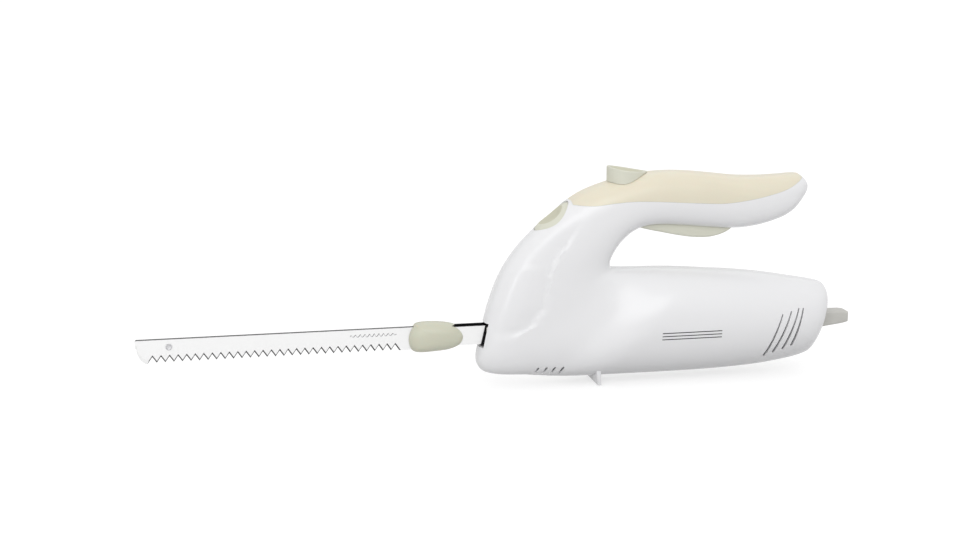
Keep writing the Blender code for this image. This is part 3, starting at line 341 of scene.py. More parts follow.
def rounded(obj, width, segments, angle=40):
    """Round the edges that are sharper than an angle. The width is in metres."""
    mod = obj.modifiers.new("rounded", "BEVEL")
    mod.width = width
    mod.segments = segments
    mod.limit_method = "ANGLE"
    mod.angle_limit = math.radians(angle)
    return bake(obj, 35)


def joined(meshes):
    """One mesh that holds several separate bodies."""
    bm = bmesh.new()
    for data in meshes:
        bm.from_mesh(data)
    return finished_mesh("joined", bm, 0)


def block(low, high):
    """A box between two corners."""
    bm = bmesh.new()
    size = metres(high) - metres(low)
    place = Matrix.Translation((metres(low) + metres(high)) / 2) @ Matrix.Diagonal((*size, 1.0))
    bmesh.ops.create_cube(bm, size=1.0, matrix=place)
    return finished_mesh("block", bm, 0)


AXIS_TURN = {"X": Matrix.Rotation(math.pi / 2, 4, "Y"), "Y": Matrix.Rotation(-math.pi / 2, 4, "X"),
             "Z": Matrix.Identity(4)}


def rod(axis, start, distance, radius, sides=24):
    """A cylinder from start along the positive axis."""
    bm = bmesh.new()
    place = Matrix.Translation(metres(start)) @ AXIS_TURN[axis] @ Matrix.Translation((0, 0, distance * MM / 2))
    bmesh.ops.create_cone(bm, cap_ends=True, segments=sides, radius1=radius * MM, radius2=radius * MM,
                          depth=distance * MM, matrix=place)
    return finished_mesh("rod", bm, 0)


def turned(axis, start, profile, sides=40):
    """A solid of revolution: profile holds (distance along the axis, radius). It starts and ends on the axis,
    or is a closed outline for a ring."""
    bm = bmesh.new()
    place = Matrix.Translation(metres(start)) @ AXIS_TURN[axis]
    edge = [bm.verts.new(place @ Vector((radius * MM, 0, along * MM))) for along, radius in profile]
    ring = profile[0][1] > 0
    pairs = list(zip(edge, edge[1:])) + ([(edge[-1], edge[0])] if ring else [])
    lines = [bm.edges.new(pair) for pair in pairs]
    direction = (AXIS_TURN[axis] @ Vector((0, 0, 1))).normalized()
    bmesh.ops.spin(bm, geom=edge + lines, cent=metres(start), axis=direction, angle=TAU, steps=sides,
                   use_merge=True)
    bmesh.ops.remove_doubles(bm, verts=bm.verts, dist=0.000005)
    bmesh.ops.recalc_face_normals(bm, faces=bm.faces)
    return finished_mesh("turned", bm)


def prism(outline, near, far):
    """A flat outline in the XZ plane, thick from y = near to y = far."""
    bm = bmesh.new()
    bottom = bm.faces.new([bm.verts.new(metres((x, near, z))) for x, z in outline])
    raised = bmesh.ops.extrude_face_region(bm, geom=[bottom])
    corners = [item for item in raised["geom"] if isinstance(item, bmesh.types.BMVert)]
    bmesh.ops.translate(bm, verts=corners, vec=(0, (far - near) * MM, 0))
    bmesh.ops.recalc_face_normals(bm, faces=bm.faces)
    return finished_mesh("prism", bm, 0)


def lofted(name, rows, caps=True, smooth=35):
    """A closed skin through rings of points: each ring is a list of points in millimetres."""
    bm = bmesh.new()
    rings = [[bm.verts.new(metres(point)) for point in row] for row in rows]
    for near, far in zip(rings, rings[1:]):
        for j in range(len(near)):
            following = (j + 1) % len(near)
            bm.faces.new((near[j], near[following], far[following], far[j]))
    if caps:
        bm.faces.new(rings[0])
        bm.faces.new(rings[-1])
    bmesh.ops.remove_doubles(bm, verts=bm.verts, dist=0.000002)
    bmesh.ops.recalc_face_normals(bm, faces=bm.faces)
    return finished_mesh(name, bm, smooth)


def oval(half_long, half_wide, count):
    """Points round an ellipse."""
    return [(half_long * math.cos(TAU * step / count), half_wide * math.sin(TAU * step / count))
            for step in range(count)]


def rounded_box(low, high, radius, steps=6):
    """Points round a rectangle with round corners."""
    corners = [(high[0] - radius, high[1] - radius, 0), (low[0] + radius, high[1] - radius, 1),
               (low[0] + radius, low[1] + radius, 2), (high[0] - radius, low[1] + radius, 3)]
    points = []
    for x, z, quarter in corners:
        for step in range(steps + 1):
            angle = (quarter + step / steps) * math.pi / 2
            points.append((x + radius * math.cos(angle), z + radius * math.sin(angle)))
    return points


def blended(rows, place):
    """Catmull-Rom value of the rows at a fractional place."""
    index = min(int(place), len(rows) - 2)
    part = place - index
    a, b, c, d = (rows[min(max(index + step, 0), len(rows) - 1)] for step in (-1, 0, 1, 2))
    return [0.5 * (2 * q + (r - p) * part + (2 * p - 5 * q + 4 * r - s) * part ** 2
                   + (3 * q - p - 3 * r + s) * part ** 3) for p, q, r, s in zip(a, b, c, d)]


def smoothed(outline, per_point):
    """A closed outline through the given points, with more points between them."""
    wrapped = [outline[-1], *outline, outline[0], outline[1]]
    count = len(outline) * per_point
    return [tuple(blended(wrapped, 1 + step / per_point)) for step in range(count)]


def ease(value):
    """A smooth step from 0 to 1."""
    value = min(max(value, 0.0), 1.0)
    return value * value * (3 - 2 * value)


def close_ends(obj):
    """Cap the open end of a skin, so that it can cut."""
    bm = bmesh.new()
    bm.from_mesh(obj.data)
    bmesh.ops.holes_fill(bm, edges=[edge for edge in bm.edges if edge.is_boundary], sides=0)
    bmesh.ops.recalc_face_normals(bm, faces=bm.faces)
    bm.to_mesh(obj.data)
    bm.free()


def add_bodies(obj, data, mat):
    """Join another closed mesh to the object, with its own material."""
    obj.data.materials.append(mat)
    index = len(obj.data.materials) - 1
    bm = bmesh.new()
    bm.from_mesh(obj.data)
    start = len(bm.faces)
    bm.from_mesh(data)
    bm.faces.ensure_lookup_table()
    for face in bm.faces[start:]:
        face.material_index = index
    bm.to_mesh(obj.data)
    bm.free()


def dress(obj, mat, smooth):
    """One material over the whole piece, and smooth shading up to an angle."""
    obj.data.materials.clear()
    obj.data.materials.append(mat)
    obj.data.polygons.foreach_set("material_index", [0] * len(obj.data.polygons))
    obj.data.shade_smooth()
    obj.data.set_sharp_from_angle(angle=math.radians(smooth))


def stand_in(obj, body, slot, *nodes):
    """Fasten a finished piece to its body, in the place of its plain CAD nodes."""
    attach(obj, body)
    if nodes:
        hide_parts(*nodes)
    return obj


# ---------------------------------------------------------------- repeated copies

def copies_tree(name, on_points):
    """A Geometry Nodes tree that copies a part in order, or on to the points of the modified mesh."""
    tree = bpy.data.node_groups.new(name, "GeometryNodeTree")
    tree.is_modifier = True
    tree.interface.new_socket("Geometry", in_out="INPUT", socket_type="NodeSocketGeometry")
    sockets = [("Part", "NodeSocketObject"), ("Turn", "NodeSocketVector"), ("Material", "NodeSocketMaterial")]
    if not on_points:
        sockets += [("Count", "NodeSocketInt"), ("Start", "NodeSocketVector"), ("Step", "NodeSocketVector")]
    for label, kind in sockets:
        tree.interface.new_socket(label, in_out="INPUT", socket_type=kind)
    tree.interface.new_socket("Geometry", in_out="OUTPUT", socket_type="NodeSocketGeometry")
    given = put(tree, "NodeGroupInput").outputs
    if on_points:
        points = given["Geometry"]
        spin = put(tree, "FunctionNodeRandomValue", {"Seed": 7}, data_type="FLOAT").outputs["Value"]
    else:
        points = put(tree, "GeometryNodeMeshLine", {"Count": given["Count"], "Start Location": given["Start"],
                                                    "Offset": given["Step"]}).outputs["Mesh"]
        spin = put(tree, "GeometryNodeInputIndex").outputs["Index"]
    scaled = put(tree, "ShaderNodeVectorMath", {"Vector": given["Turn"], "Scale": spin}, operation="SCALE")
    part = put(tree, "GeometryNodeObjectInfo", {"Object": given["Part"]}).outputs["Geometry"]
    copies = put(tree, "GeometryNodeInstanceOnPoints", {"Points": points, "Instance": part,
                                                        "Rotation": scaled.outputs["Vector"]})
    real = put(tree, "GeometryNodeRealizeInstances", {"Geometry": copies.outputs["Instances"]})
    dressed = put(tree, "GeometryNodeSetMaterial", {"Geometry": real.outputs["Geometry"],
                                                    "Material": given["Material"]})
    put(tree, "NodeGroupOutput", {"Geometry": dressed.outputs["Geometry"]})
    return tree


def copies(name, part, mat, places=None, **order):
    """Copies of a mesh as one plain object: on the given places, or in an even row or ring."""
    seed = add_object(name + "_part", part)
    tree_name = "Copies on Points" if places else "Copies in Order"
    tree = bpy.data.node_groups.get(tree_name) or copies_tree(tree_name, bool(places))
    points = bpy.data.meshes.new(name)
    points.from_pydata([metres(place) for place in places or [(0, 0, 0)]], [], [])
    obj = add_object(name, points)
    mod = obj.modifiers.new("copies", "NODES")
    mod.node_group = tree
    values = {"Part": seed, "Material": mat, **order}
    for item in tree.interface.items_tree:
        if item.in_out == "INPUT" and item.name in values:
            mod[item.identifier] = values[item.name]
    bake(obj)
    bpy.data.objects.remove(seed, do_unlink=True)
    return obj


# ---------------------------------------------------------------- shader helpers

def put(tree, kind, inputs=None, **fields):
    """Add a node, with its own fields and with values or links for its inputs."""
    made = tree.nodes.new(kind)
    for key, value in fields.items():
        setattr(made, key, value)
    for key, value in (inputs or {}).items():
        if isinstance(value, bpy.types.NodeSocket):
            tree.links.new(value, made.inputs[key])
        else:
            made.inputs[key].default_value = value
    return made


def maths(tree, operation, first, second=0.0):
    """The result of a Math node."""
    return put(tree, "ShaderNodeMath", {0: first, 1: second}, operation=operation).outputs[0]


def mixed(tree, factor, first, second):
    """Mix of two colours; a plain colour is given as four numbers."""
    return put(tree, "ShaderNodeMix", {0: factor, 6: first, 7: second}, data_type="RGBA").outputs[2]


def ranged(tree, value, low, high):
    """The value's middle range stretched to run from low to high."""
    return put(tree, "ShaderNodeMapRange", {"Value": value, "From Min": 0.3, "From Max": 0.7, "To Min": low,
                                            "To Max": high}).outputs["Result"]


def new_group(name, inputs, outputs):
    """An empty shader group with its sockets, and the sockets of its input node."""
    tree = bpy.data.node_groups.new(name, "ShaderNodeTree")
    for label, kind, default in inputs:
        socket = tree.interface.new_socket(label, in_out="INPUT", socket_type=kind)
        if default is not None:
            socket.default_value = default
    for label, kind in outputs:
        tree.interface.new_socket(label, in_out="OUTPUT", socket_type=kind)
    return tree, put(tree, "NodeGroupInput").outputs


FLOAT, VECTOR, COLOUR = "NodeSocketFloat", "NodeSocketVector", "NodeSocketColor"


def moulded_group():
    """Moulded plastic: cloudy colour, fine spark texture, and handling marks in the gloss."""
    tree, given = new_group("Moulded Plastic",
                            [("Vector", VECTOR, None), ("Colour", COLOUR, None), ("Shade", COLOUR, None),
                             ("Grain", FLOAT, 2600.0), ("Depth", FLOAT, 0.1), ("Roughness", FLOAT, 0.3),
                             ("Spread", FLOAT, 0.1)],
                            [("Colour", COLOUR), ("Roughness", FLOAT), ("Normal", VECTOR)])
    cloud = put(tree, "ShaderNodeTexNoise", {"Vector": given["Vector"], "Scale": 26.0, "Detail": 3.0,
                                             "Roughness": 0.55}).outputs[0]
    smear = put(tree, "ShaderNodeTexNoise", {"Vector": given["Vector"], "Scale": 85.0, "Detail": 5.0,
                                             "Roughness": 0.65, "Distortion": 0.8}).outputs[0]
    grain = put(tree, "ShaderNodeTexNoise", {"Vector": given["Vector"], "Scale": given["Grain"],
                                             "Detail": 2.0}).outputs[0]
    tone = mixed(tree, ranged(tree, cloud, 0.0, 1.0), given["Colour"], given["Shade"])
    wide = maths(tree, "MULTIPLY", given["Spread"], ranged(tree, smear, -0.5, 0.5))
    rough = maths(tree, "ADD", given["Roughness"], wide)
    bump = put(tree, "ShaderNodeBump", {"Height": grain, "Strength": given["Depth"], "Distance": 0.0002})
    put(tree, "NodeGroupOutput", {"Colour": tone, "Roughness": rough, "Normal": bump.outputs[0]})
    return tree


def brushed_group():
    """Brushed metal: long fine lines in the gloss, the tone and the surface."""
    tree, given = new_group("Brushed Metal",
                            [("Vector", VECTOR, None), ("Colour", COLOUR, None), ("Shade", COLOUR, None),
                             ("Lines", FLOAT, 900.0), ("Strength", FLOAT, 0.3), ("Roughness", FLOAT, 0.25)],
                            [("Colour", COLOUR), ("Roughness", FLOAT), ("Normal", VECTOR)])
    lines = put(tree, "ShaderNodeTexNoise", {"Vector": given["Vector"], "Scale": given["Lines"], "Detail": 4.0,
                                             "Roughness": 0.7}).outputs[0]
    broad = put(tree, "ShaderNodeTexNoise", {"Vector": given["Vector"], "Scale": maths(tree, "MULTIPLY",
                                             given["Lines"], 0.08), "Detail": 2.0}).outputs[0]
    tone = mixed(tree, ranged(tree, broad, 0.0, 1.0), given["Colour"], given["Shade"])
    rough = maths(tree, "ADD", given["Roughness"], maths(tree, "MULTIPLY", given["Strength"],
                                                         ranged(tree, lines, -0.25, 0.25)))
    bump = put(tree, "ShaderNodeBump", {"Height": lines, "Strength": given["Strength"], "Distance": 0.00002})
    put(tree, "NodeGroupOutput", {"Colour": tone, "Roughness": rough, "Normal": bump.outputs[0]})
    return tree


def soiled_group():
    """Dust and oil that gather in patches: a mask from 0, clean, to 1."""
    tree, given = new_group("Oily Dust", [("Vector", VECTOR, None), ("Patch", FLOAT, 160.0),
                                          ("Amount", FLOAT, 0.4)], [("Mask", FLOAT)])
    patch = put(tree, "ShaderNodeTexNoise", {"Vector": given["Vector"], "Scale": given["Patch"], "Detail": 6.0,
                                             "Roughness": 0.62}).outputs[0]
    mask = maths(tree, "MULTIPLY", given["Amount"], ranged(tree, patch, 0.0, 1.0))
    put(tree, "NodeGroupOutput", {"Mask": mask})
    return tree


def group_node(tree, maker, name, inputs):
    """Place a shader group, which is built the first time it is asked for."""
    group = bpy.data.node_groups.get(name) or maker()
    return put(tree, "ShaderNodeGroup", inputs, node_tree=group).outputs


def new_material(name, **constants):
    """A material with a Principled shader whose plain sockets are set, and its object coordinates."""
    mat = bpy.data.materials.new(name)
    mat.use_nodes = True
    tree = mat.node_tree
    shader = tree.nodes["Principled BSDF"]
    for key, value in constants.items():
        shader.inputs[key.replace("_", " ")].default_value = value
    place = put(tree, "ShaderNodeTexCoord").outputs["Object"]
    return mat, tree, shader, place


def connect(tree, shader, made, names=("Colour", "Roughness", "Normal")):
    """Lead a group's colour, roughness and normal to the shader."""
    for source, target in zip(names, ("Base Color", "Roughness", "Normal")):
        tree.links.new(made[source], shader.inputs[target])


def tone(base, factor=1.0):
    """A colour as four numbers, made darker or lighter."""
    return (*(min(1.0, part * factor) for part in base), 1.0)


def plastic(name, base, roughness, grain=2600.0, depth=0.1, spread=0.1, shade=0.965, **constants):
    """A moulded plastic. spread is how much the gloss varies, shade how dark the darker clouds are."""
    known = bpy.data.materials.get(name)
    if known:
        return known
    mat, tree, shader, place = new_material(name, **constants)
    made = group_node(tree, moulded_group, "Moulded Plastic",
                      {"Vector": place, "Colour": tone(base), "Shade": tone(base, shade), "Grain": grain,
                       "Depth": depth, "Roughness": roughness, "Spread": spread})
    connect(tree, shader, made)
    mat.diffuse_color = tone(base)
    return mat


def metal(name, base, roughness, stretch=(1.0, 1.0, 1.0), lines=900.0, strength=0.3, shade=0.9, soil=0.0,
          **constants):
    """A brushed or plain metal. stretch shortens the lines along each axis: a small number makes them long."""
    known = bpy.data.materials.get(name)
    if known:
        return known
    mat, tree, shader, place = new_material(name, Metallic=1.0, **constants)
    drawn = put(tree, "ShaderNodeMapping", {"Vector": place, "Scale": stretch}).outputs[0]
    made = group_node(tree, brushed_group, "Brushed Metal",
                      {"Vector": drawn, "Colour": tone(base), "Shade": tone(base, shade), "Lines": lines,
                       "Strength": strength, "Roughness": roughness})
    connect(tree, shader, made)
    if soil:
        mask = group_node(tree, soiled_group, "Oily Dust", {"Vector": place, "Amount": soil})["Mask"]
        dirty = mixed(tree, mask, made["Colour"], tone(base, 0.35))
        tree.links.new(dirty, shader.inputs["Base Color"])
        rough = maths(tree, "ADD", made["Roughness"], maths(tree, "MULTIPLY", mask, 0.35))
        tree.links.new(rough, shader.inputs["Roughness"])
    mat.diffuse_color = tone(base)
    return mat


# ---------------------------------------------------------------- finishes

def settings(name):
    """The values that the user set for one group of pieces."""
    return getattr(bpy.context.scene, "knife_" + name)


def casing_white():
    given = settings("casing")
    return plastic("casing_white", given.white, given.gloss, grain=1400.0, depth=0.012, spread=0.06, shade=0.985,
                   Coat_Weight=0.35, Coat_Roughness=0.07, IOR=1.52)


def grip_cream():
    given = settings("casing")
    return plastic("grip_cream", given.cream, given.satin, grain=3200.0, depth=0.10, spread=0.10, shade=0.972,
                   Subsurface_Weight=0.05, Subsurface_Scale=0.004, Coat_Weight=0.08, Coat_Roughness=0.25)


def control_cream():
    given = settings("control")
    return plastic("control_cream", given.tint, given.roughness, grain=3000.0, depth=0.08, spread=0.10,
                   shade=0.97, Subsurface_Weight=0.04, Subsurface_Scale=0.003)


def control_matte_painted_shade():
    """The thumb hollows of the controls: finely grained and rougher, and a tenth darker as painted shade."""
    given = settings("control")
    # The tint a tenth darker is painted shade in the hollow.
    return plastic("control_cream_matte_painted_shade", tuple(0.90 * part for part in given.tint), 0.75, grain=5200.0,
                   depth=0.2, spread=0.08, shade=0.95, Specular_IOR_Level=0.15)


def collar_cream():
    given = settings("blade")
    return plastic("collar_cream", given.collar, 0.38, grain=2800.0, depth=0.12, spread=0.12, shade=0.95,
                   Subsurface_Weight=0.05, Subsurface_Scale=0.003)


def blade_steel():
    given = settings("blade")
    return metal("blade_steel", given.steel, 0.2, stretch=(0.02, 1.0, 1.0), lines=1500.0, strength=given.brush,
                 shade=0.965, Anisotropic=0.3)


# Steel with a painted dark reflection, on the ground faces of the teeth and on the spine.
def steel_painted_dark_reflection():
    given = settings("blade")
    return metal("steel_painted_dark_reflection", given.ground, 0.42, stretch=(1.0, 1.0, 0.06), lines=2600.0, strength=0.6,
                 shade=0.75)


# Near-black steel that paints the shade on the shank inside the nose, and on its spine and inner face behind the
# joggle.
def painted_shade_black():
    return metal("painted_shade_black_steel", (0.018, 0.018, 0.02), 0.5, lines=900.0, strength=0.3, shade=0.8)


def zinc():
    given = settings("fixing")
    return metal("zinc_steel", given.zinc, 0.34, lines=500.0, strength=0.25, shade=0.88, soil=0.15)


def iron():
    given = settings("inner")
    return metal("lamination_iron", given.iron, 0.45, lines=700.0, strength=0.4, shade=0.8, soil=0.5)


def copper():
    given = settings("inner")
    return metal("copper", given.copper, 0.3, stretch=(1.0, 1.0, 0.1), lines=1200.0, strength=0.5, shade=0.7,
                 soil=0.2, Coat_Weight=0.5, Coat_Roughness=0.15)


def bronze():
    given = settings("inner")
    return metal("bronze", given.bronze, 0.38, lines=900.0, strength=0.35, shade=0.85, soil=0.25)


def nylon():
    given = settings("inner")
    return plastic("nylon", given.nylon, 0.42, grain=1800.0, depth=0.08, spread=0.15, shade=0.93,
                   Subsurface_Weight=0.1, Subsurface_Scale=0.002)


def black_plastic():
    given = settings("inner")
    return plastic("black_plastic", given.black, 0.45, grain=2200.0, depth=0.2, spread=0.2, shade=0.6)


def carbon():
    return plastic("carbon", (0.035, 0.035, 0.037), 0.62, grain=4200.0, depth=0.35, spread=0.2, shade=0.7)


def relief_grey():
    given = settings("fixing")
    return plastic("relief_grey", given.relief, 0.5, grain=3600.0, depth=0.15, spread=0.12, shade=0.95)


def print_ink():
    return plastic("print_ink", (0.012, 0.012, 0.014), 0.3, grain=5200.0, depth=0.05, spread=0.1, shade=0.7)


def etched_grey():
    return metal("etched_steel", (0.20, 0.20, 0.21), 0.6, lines=3000.0, strength=0.5, shade=0.7)


# ---------------------------------------------------------------- casing

def crease_at(z):
    """Place of the pillar's crease at a height, along X."""
    for (upper, x_upper), (lower, x_lower) in zip(CREASE, CREASE[1:]):
        if lower <= z <= upper:
            part = ease((upper - z) / (upper - lower)) * 0.3 + 0.7 * (upper - z) / (upper - lower)
            return x_upper + (x_lower - x_upper) * part
    return None


def crease_drop(x, z):
    """How far the scooped nose lies under the pillar's side, in shares of the crease's depth."""
    line = crease_at(z)
    if line is None:
        return 0.0
    slope = 0.6 if z > 84 else 0.9
    ahead = (line - x) * slope
    ends = ease((116.0 - z) / 22.0) * ease((z - 35.0) / 7.0)
    return ends * ease(ahead / 1.5) * math.exp(-(max(ahead, 0.0) / 13.0) ** 2)


def barrel_half_width(x, z):
    """Half width of the barrel at a point of the side view; 0 outside it."""
    top = 77.9 - 15.5 * max(0.0, (x - 90) / 131) ** 1.7
    low = 4.4 + 8.0 * max(0.0, (x - 120) / 92) ** 2.2
    level = (2 * z - top - low) / (top - low)
    front = 4.0 + 62.0 * max(0.0, (z - 8) / 70) ** 0.9
    swell = min(max((x - front) / BARREL_RISE, 0.0), 1.0)
    narrowing = 1 - 0.16 * max(0.0, (x - 130) / 98) ** 2
    half = settings("casing").barrel_half / MM
    return half * math.sin(swell * math.pi / 2) * narrowing * math.sqrt(max(0.0, 1 - level ** 2))


def casing_point(place, across):
    """A point of the flank: place counts ribs, across runs from the finger gap (0) to the outside (1)."""
    outer_x, outer_z, inner_x, inner_z, half, bulge, full = blended(RIB_ROWS, place)
    part = (1 - math.cos(math.pi * across)) / 2
    skew = REAR_SKEW if place > REAR_FROM else TAIL_SKEW
    x = inner_x + (outer_x - inner_x) * part + bulge * math.sin(math.pi * part ** skew)
    z = inner_z + (outer_z - inner_z) * part
    sheet = half * max(0.0, 1 - abs(2 * part - 1) ** SHEET_POWER) ** (1 / SHEET_POWER)
    width = (sheet ** BLEND_POWER + barrel_half_width(x, z) ** BLEND_POWER) ** (1 / BLEND_POWER)
    width -= settings("casing").crease_depth / MM * crease_drop(x, z) * min(1.0, sheet / half)
    return x, max(width, 0.0) * min(max(full, 0.0), 1.0), z


def flank(name, side, last, split):
    """The open skin of one side of the casing, up to a rib, with a narrow land beside the parting plane."""
    given = settings("casing")
    count = last * given.per_rib
    steps = given.girth
    rear = last == len(RIBS) - 1
    bm = bmesh.new()
    grid = []
    for i in range(-1, count + 2):
        place = min(max(i, 0), count) / given.per_rib
        line = []
        for j in range(-1, steps + 2):
            x, width, z = casing_point(place, min(max(j, 0), steps) / steps)
            edge = j in (-1, steps + 1) or i == -1 or (i == count + 1 and rear)
            y = split if edge else split + LAND + width
            line.append(bm.verts.new(metres((x, side * y, z))))
        grid.append(line)
    for near, far in zip(grid, grid[1:]):
        for j in range(len(near) - 1):
            loop = (near[j], far[j], far[j + 1], near[j + 1])
            bm.faces.new(loop if side > 0 else loop[::-1])
    bmesh.ops.remove_doubles(bm, verts=bm.verts, dist=0.000005)
    return finished_mesh(name, bm, 50)


def thickened(obj):
    """Give a skin its wall, towards the inside."""
    mod = obj.modifiers.new("wall", "SOLIDIFY")
    mod.thickness = settings("casing").wall
    mod.offset = -1
    mod.use_even_offset = True
    return bake(obj)


def cover_prism(grow):
    """The space above the grip cover's lower edge, taken through the whole handle."""
    front, rear = COVER_EDGE[0][0], COVER_EDGE[-3][0]
    lower = [tuple(blended(COVER_EDGE[:-2], step / 5)) for step in range(5 * (len(COVER_EDGE) - 3) + 1)]
    outline = [(x - grow * (x <= front) + grow * (x >= rear), z - grow) for x, z in lower + COVER_EDGE[-2:]]
    return prism(outline, -40, 40)


def slanted_slot(bottom, top, width_low, width_high, near, far):
    """A tapering vent with round ends, between two points of the side view."""
    run = Vector((top[0] - bottom[0], top[1] - bottom[1])).normalized()
    turn = math.atan2(run.y, run.x)
    outline = []
    for point, width, start in ((bottom, width_low, math.pi / 2), (top, width_high, -math.pi / 2)):
        for step in range(7):
            angle = turn + start + math.pi * step / 6
            outline.append((point[0] + width / 2 * math.cos(angle), point[1] + width / 2 * math.sin(angle)))
    return prism(outline, near, far)


def shoulder_room():
    """The oval hole for the release button, square to the front shoulder."""
    data = prism(oval(RELEASE_PLAN[0] + GAP, RELEASE_PLAN[1] + GAP, 72), -13, 8)
    data.transform(Matrix.Translation(metres((SHOULDER[0], 0, SHOULDER[1])))
                   @ Matrix.Rotation(-SHOULDER_SLOPE, 4, "Y") @ Matrix.Rotation(math.pi / 2, 4, "X"))
    return data


SKIN_POINTS = []


def wall_of(x, z):
    """Half width of the casing at a point of the side view, on the nearest of the skin's points."""
    given = settings("casing")
    if not SKIN_POINTS:
        SKIN_POINTS.extend(casing_point(i / given.per_rib, j / given.girth)
                           for i in range((len(RIBS) - 1) * given.per_rib + 1) for j in range(given.girth + 1))
    best = min(SKIN_POINTS, key=lambda point: math.hypot(point[0] - x, point[2] - z))
    return best[1] + SPLIT + LAND


def screw_posts(side):
    """The posts inside a casing half that the screws go through or into."""
    posts = []
    for x, z in SCREW_PLACES:
        end = min(wall_of(x + dx, z + dz) for dx, dz in oval(POST, POST, 12)) - POST_COVER
        start = -end if side < 0 else SPLIT + GAP
        posts.append(rod("Y", (x, start, z), end - SPLIT - GAP, POST, 32))
    return joined(posts)


def screw_holes(side):
    """Pilot holes in the near half's posts, and stepped holes for the heads through the far half's."""
    holes = []
    for x, z in SCREW_PLACES:
        if side < 0:
            holes.append(rod("Y", (x, -9.0, z), 12.0, 1.8, 24))
        else:
            holes.append(turned("Y", (x, -1.0, z), [(0, 0), (0, 1.9), (10, 1.9), (10, 3.5), (40, 3.5), (40, 0)],
                                32))
    return joined(holes)


def vent_slots(side):
    """The slots in the rear of the barrel and low in the nose."""
    near, far = (-34, -9) if side < 0 else (9, 34)
    slots = [slanted_slot(bottom, top, 1.9, 0.9, near, far) for bottom, top in REAR_VENTS]
    slots += [slanted_slot((x, 8.0), (x + 3.0, 13.6), 1.5, 1.5, near, far) for x in FRONT_VENTS]
    return joined(slots)


def fin(side):
    """The half of the foot on one side: a cross plate that leans back, with rounded corners."""
    low, high = sorted((side * SPLIT, side * FOOT_HALF))
    outline = [(FOOT_X - 0.6, 0.0), (FOOT_X + 2.0, 0.0), (FOOT_X + 1.3, FOOT_TOP), (FOOT_X - 2.0, FOOT_TOP)]
    obj = add_object("fin", prism(outline, low, high))
    return rounded(obj, 0.4 * MM, 3, 60)


def casing_half(side):
    """One half of the casing with its posts, its half of the foot, and all its openings."""
    label = "left" if side < 0 else "right"
    obj = add_object(label + "_casing_shell", flank(label, side, len(RIBS) - 1, SPLIT), casing_white())
    thickened(obj)
    cut(obj, cover_prism(0.0))
    cut(obj, screw_posts(side), "UNION")
    cut(obj, fin(side), "UNION")
    cut(obj, screw_holes(side))
    cut(obj, vent_slots(side))
    nose_slot = block((-30.0, -NOSE_SLOT_HALF, SHANK[0] - 2.0), (2.0, NOSE_SLOT_HALF, SHANK[1] + 1.6))
    trigger_room = block((87.0, -TRIGGER_HALF - 0.5, 94.0), (161.0, TRIGGER_HALF + 0.5, 113.0))
    relief_room = block((216.0, -RELIEF_ROOM_HALF, 28.6), (240.0, RELIEF_ROOM_HALF, 42.2))
    cut(obj, joined([nose_slot, trigger_room, relief_room, shoulder_room()]))
    dress(obj, casing_white(), 38)
    return stand_in(obj, "housing", "casing_white", label + "_casing")


def mirrored_skin(name, last):
    """The skin over the handle, both sides, open at its front end."""
    obj = add_object(name, flank(name, 1, last, 0.0))
    mod = obj.modifiers.new("far_side", "MIRROR")
    mod.use_axis = (False, True, False)
    mod.merge_threshold = 0.00001
    return bake(obj)


def grip_cover():
    """The cover over the top of the handle, with the slot that the lock slides in."""
    obj = mirrored_skin("grip_cover_shell", COVER_RIBS)
    thickened(obj)
    cut(obj, cover_prism(-COVER_GAP), "INTERSECT")
    cut(obj, block((LOCK_STEM_X - 8.0, -2.8, 120.0), (LOCK_STEM_X + 3.6, 2.8, 150.0)))
    dress(obj, grip_cream(), 38)
    return stand_in(obj, "housing", "cream_plastic", "grip_cover")


# ---------------------------------------------------------------- controls

def shaded_matte_hollow(obj, inside):
    """The matte finish and painted shade on the faces of a thumb hollow, told by their middle."""
    obj.data.materials.append(control_matte_painted_shade())
    for face in obj.data.polygons:
        if inside(face.center / MM, face.normal):
            face.material_index = 1


def lock_plan(count):
    """Plan of the lock: an egg with a round front and a pointed rear."""
    half = []
    for step in range(count + 1):
        along = 0.5 + 0.5 * math.sin(math.pi * (step / count - 0.5))
        width = LOCK_HALF * 2.436 * along ** 0.5 * (1 - along) ** 0.85
        half.append((LOCK[0] + (LOCK[1] - LOCK[0]) * along, width))
    return half + [(x, -width) for x, width in half[-2:0:-1]]


def lock_rim(x):
    """Height of the lock's rim: a raised lip in front that sweeps down to the rear."""
    along = min(max((x - LOCK[0]) / (LOCK[1] - LOCK[0]), 0.0), 1.0)
    return LOCK_TOP[1] + (LOCK_TOP[0] - LOCK_TOP[1]) * (1 - along) ** 1.5


def lock_button():
    """The sliding lock: its wall follows the plan, and its top is a hollow for the thumb."""
    dish = settings("control").lock_dish / MM
    plan = lock_plan(48)
    middle = LOCK[0] + 0.42 * (LOCK[1] - LOCK[0])

    def ring(part, drop):
        places = [(middle + (x - middle) * part, y * part) for x, y in plan]
        return [(x, y, lock_rim(x) - drop) for x, y in places]

    rows = [[(x, y, 126.0) for x, y in plan]]
    for step in range(7):
        angle = math.pi / 2 * step / 6
        rows.append(ring(1 - 0.075 * (1 - math.cos(angle)), 0.9 * (1 - math.sin(angle))))
    for step in range(1, 14):
        part = step / 14
        rows.append(ring(0.925 * (1 - part) ** 0.9, dish * ease(part * 1.5)))
    obj = add_object("lock_slider", lofted("lock_slider", rows, smooth=50), control_cream())
    grip = mirrored_skin("grip_under_lock", COVER_RIBS)
    close_ends(grip)
    grip.data.transform(Matrix.Translation((0, 0, 0.35 * MM)) @ Matrix.Diagonal((1, 1.02, 1, 1)))
    cut(obj, grip)
    cut(obj, block((LOCK_STEM_X - 3.0, -2.2, 121.0), (LOCK_STEM_X + 3.0, 2.2, 141.0)), "UNION")
    dress(obj, control_cream(), 42)
    shaded_matte_hollow(obj, lambda middle, normal: 138 < middle.z < lock_rim(middle.x) - 0.3 and normal.z > 0.7)
    return stand_in(obj, "lock", "control_cream", "lock_button")


